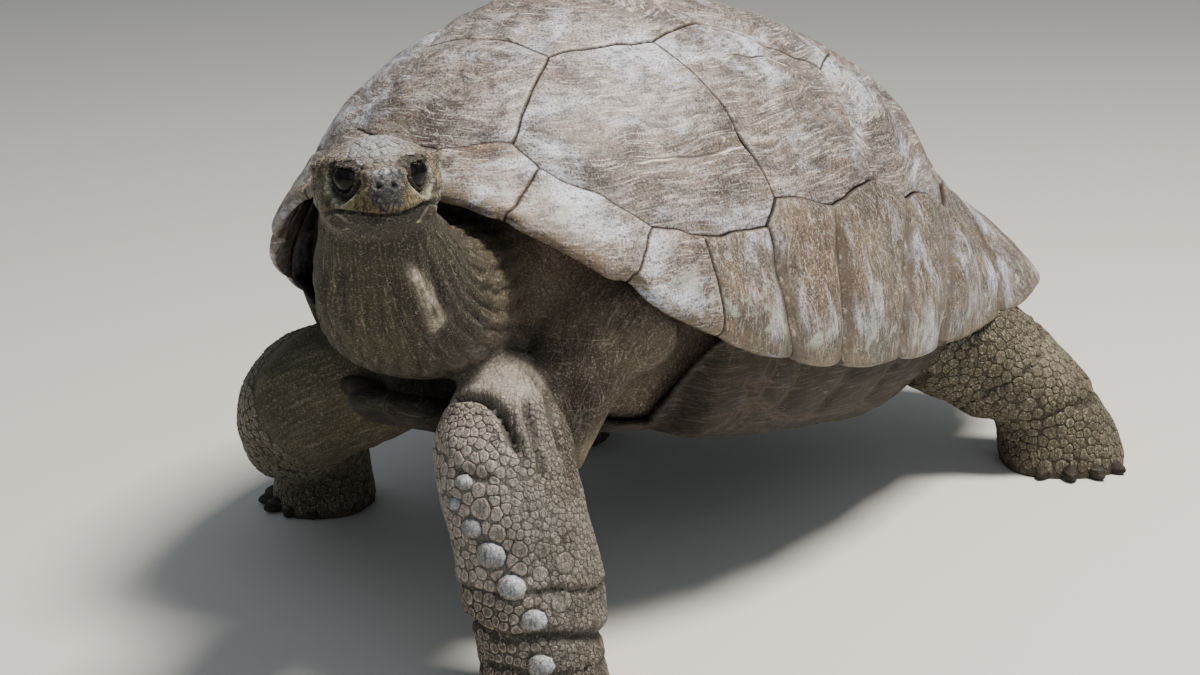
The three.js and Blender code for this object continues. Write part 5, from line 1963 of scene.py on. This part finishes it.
# %% Claws on every foot
CLAW_LENGTH = 40.0
CLAW_HALF_WIDTH, CLAW_HALF_HEIGHT = 14.0, 13.0
CLAW_SPREAD = math.radians(25)
CLAW_BURIED = 12.0
FEET = {"foreleg_left": (math.radians(18), 5), "foreleg_right": (math.radians(-25), 5),
        "hindleg_left": (math.radians(40), 4), "hindleg_right": (math.radians(-12), 4)}


def one_claw(name, foot, reach, heading, size):
    away = np.array([math.sin(heading), -math.cos(heading), 0.0])
    across = np.array([math.cos(heading), math.sin(heading), 0.0])
    turns = np.arange(16) / 16 * 2 * np.pi
    rings = []
    for t in np.linspace(0.0, 0.97, 12):
        thick = (1 - t ** 2.3) ** 0.55 * (1 + 0.02 * math.sin(t * 38))
        up = CLAW_HALF_HEIGHT * size * (1.02 - 0.42 * t)
        centre = foot + away * (reach - CLAW_BURIED + CLAW_LENGTH * size * t) + (0, 0, SOLE + up)
        ring = centre + np.outer(np.cos(turns) * CLAW_HALF_WIDTH * size * thick, across)
        ring[:, 2] += np.sin(turns) * CLAW_HALF_HEIGHT * size * thick
        ring[:, 2] = np.maximum(ring[:, 2], SOLE + 0.4)
        rings.append(ring)
    rings = np.array(rings)
    tip = rings[-1].mean(axis=0) + away * 1.2 * size
    obj, _, _ = ball_of_rings(name, rings, rings[0].mean(axis=0), tip)
    return obj


for name, (heading, count) in FEET.items():
    (centre, wide, deep, _) = LIMBS[name][1][-1]
    foot = np.array([centre[0], centre[1], 0.0])
    claws = []
    for i in range(count):
        off = i - (count - 1) / 2
        size = 1.0 - 0.06 * abs(off)
        claws.append(one_claw(f"claws_{name}", foot, (wide + deep) / 2 - 6,
                              heading + off * CLAW_SPREAD, size))
    bpy.ops.object.select_all(action="DESELECT")
    for claw in claws:
        claw.select_set(True)
    bpy.context.view_layer.objects.active = claws[0]
    bpy.ops.object.join()
    note_on(claws[0], "from_seam", np.full(len(claws[0].data.vertices), 99.0))
    no_scars(claws[0])
    bpy.ops.object.shade_smooth()
    claws[0].data.materials.append(HORN["belly"])
    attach(claws[0], "root")
print("claws on", len(FEET), "feet")


# %% Floor, light and camera
def stage_and_light():
    bpy.ops.mesh.primitive_plane_add(size=60, location=(0, 0, 0))
    floor = bpy.context.object
    floor.name = "studio_floor"
    material, tree = new_material("studio_floor_paint")
    surface = add_node(tree, "ShaderNodeBsdfPrincipled", {
        "Base Color": paint("cdcdc8"), "Roughness": 0.9})
    add_node(tree, "ShaderNodeOutputMaterial", {"Surface": surface.outputs[0]})
    floor.data.materials.append(material)
    world = bpy.data.worlds.new("studio_air")
    bpy.context.scene.world = world
    world.use_nodes = True
    world.node_tree.nodes["Background"].inputs["Color"].default_value = paint("dfe6ee")
    world.node_tree.nodes["Background"].inputs["Strength"].default_value = 0.36


def soft_light(name, direction, distance, size, power, colour):
    way = Vector(direction).normalized()
    bpy.ops.object.light_add(type="AREA", location=way * distance + Vector((0, 0, 0.3)))
    light = bpy.context.object
    light.name = name
    light.rotation_euler = way.to_track_quat("Z", "Y").to_euler()
    light.data.size = size
    light.data.energy = power
    light.data.color = paint(colour)[:3]


stage_and_light()
soft_light("key_light", (0.46, 0.05, 1.0), 4.5, 1.2, 480, "fff6ea")
soft_light("front_fill", (0.9, -0.9, 0.5), 6.0, 4.0, 48, "eef3ff")

CAMERA_AT = (1.6524, -2.7970, 1.1700)
CAMERA_TURNS = (74.75, 0.927, 30.608)
CAMERA_LENS = 74.07
bpy.ops.object.camera_add(location=CAMERA_AT, rotation=[math.radians(a) for a in CAMERA_TURNS])
camera = bpy.context.object
camera.rotation_mode = "XYZ"
camera.data.lens = CAMERA_LENS
camera.data.sensor_width = 36
bpy.context.scene.camera = camera
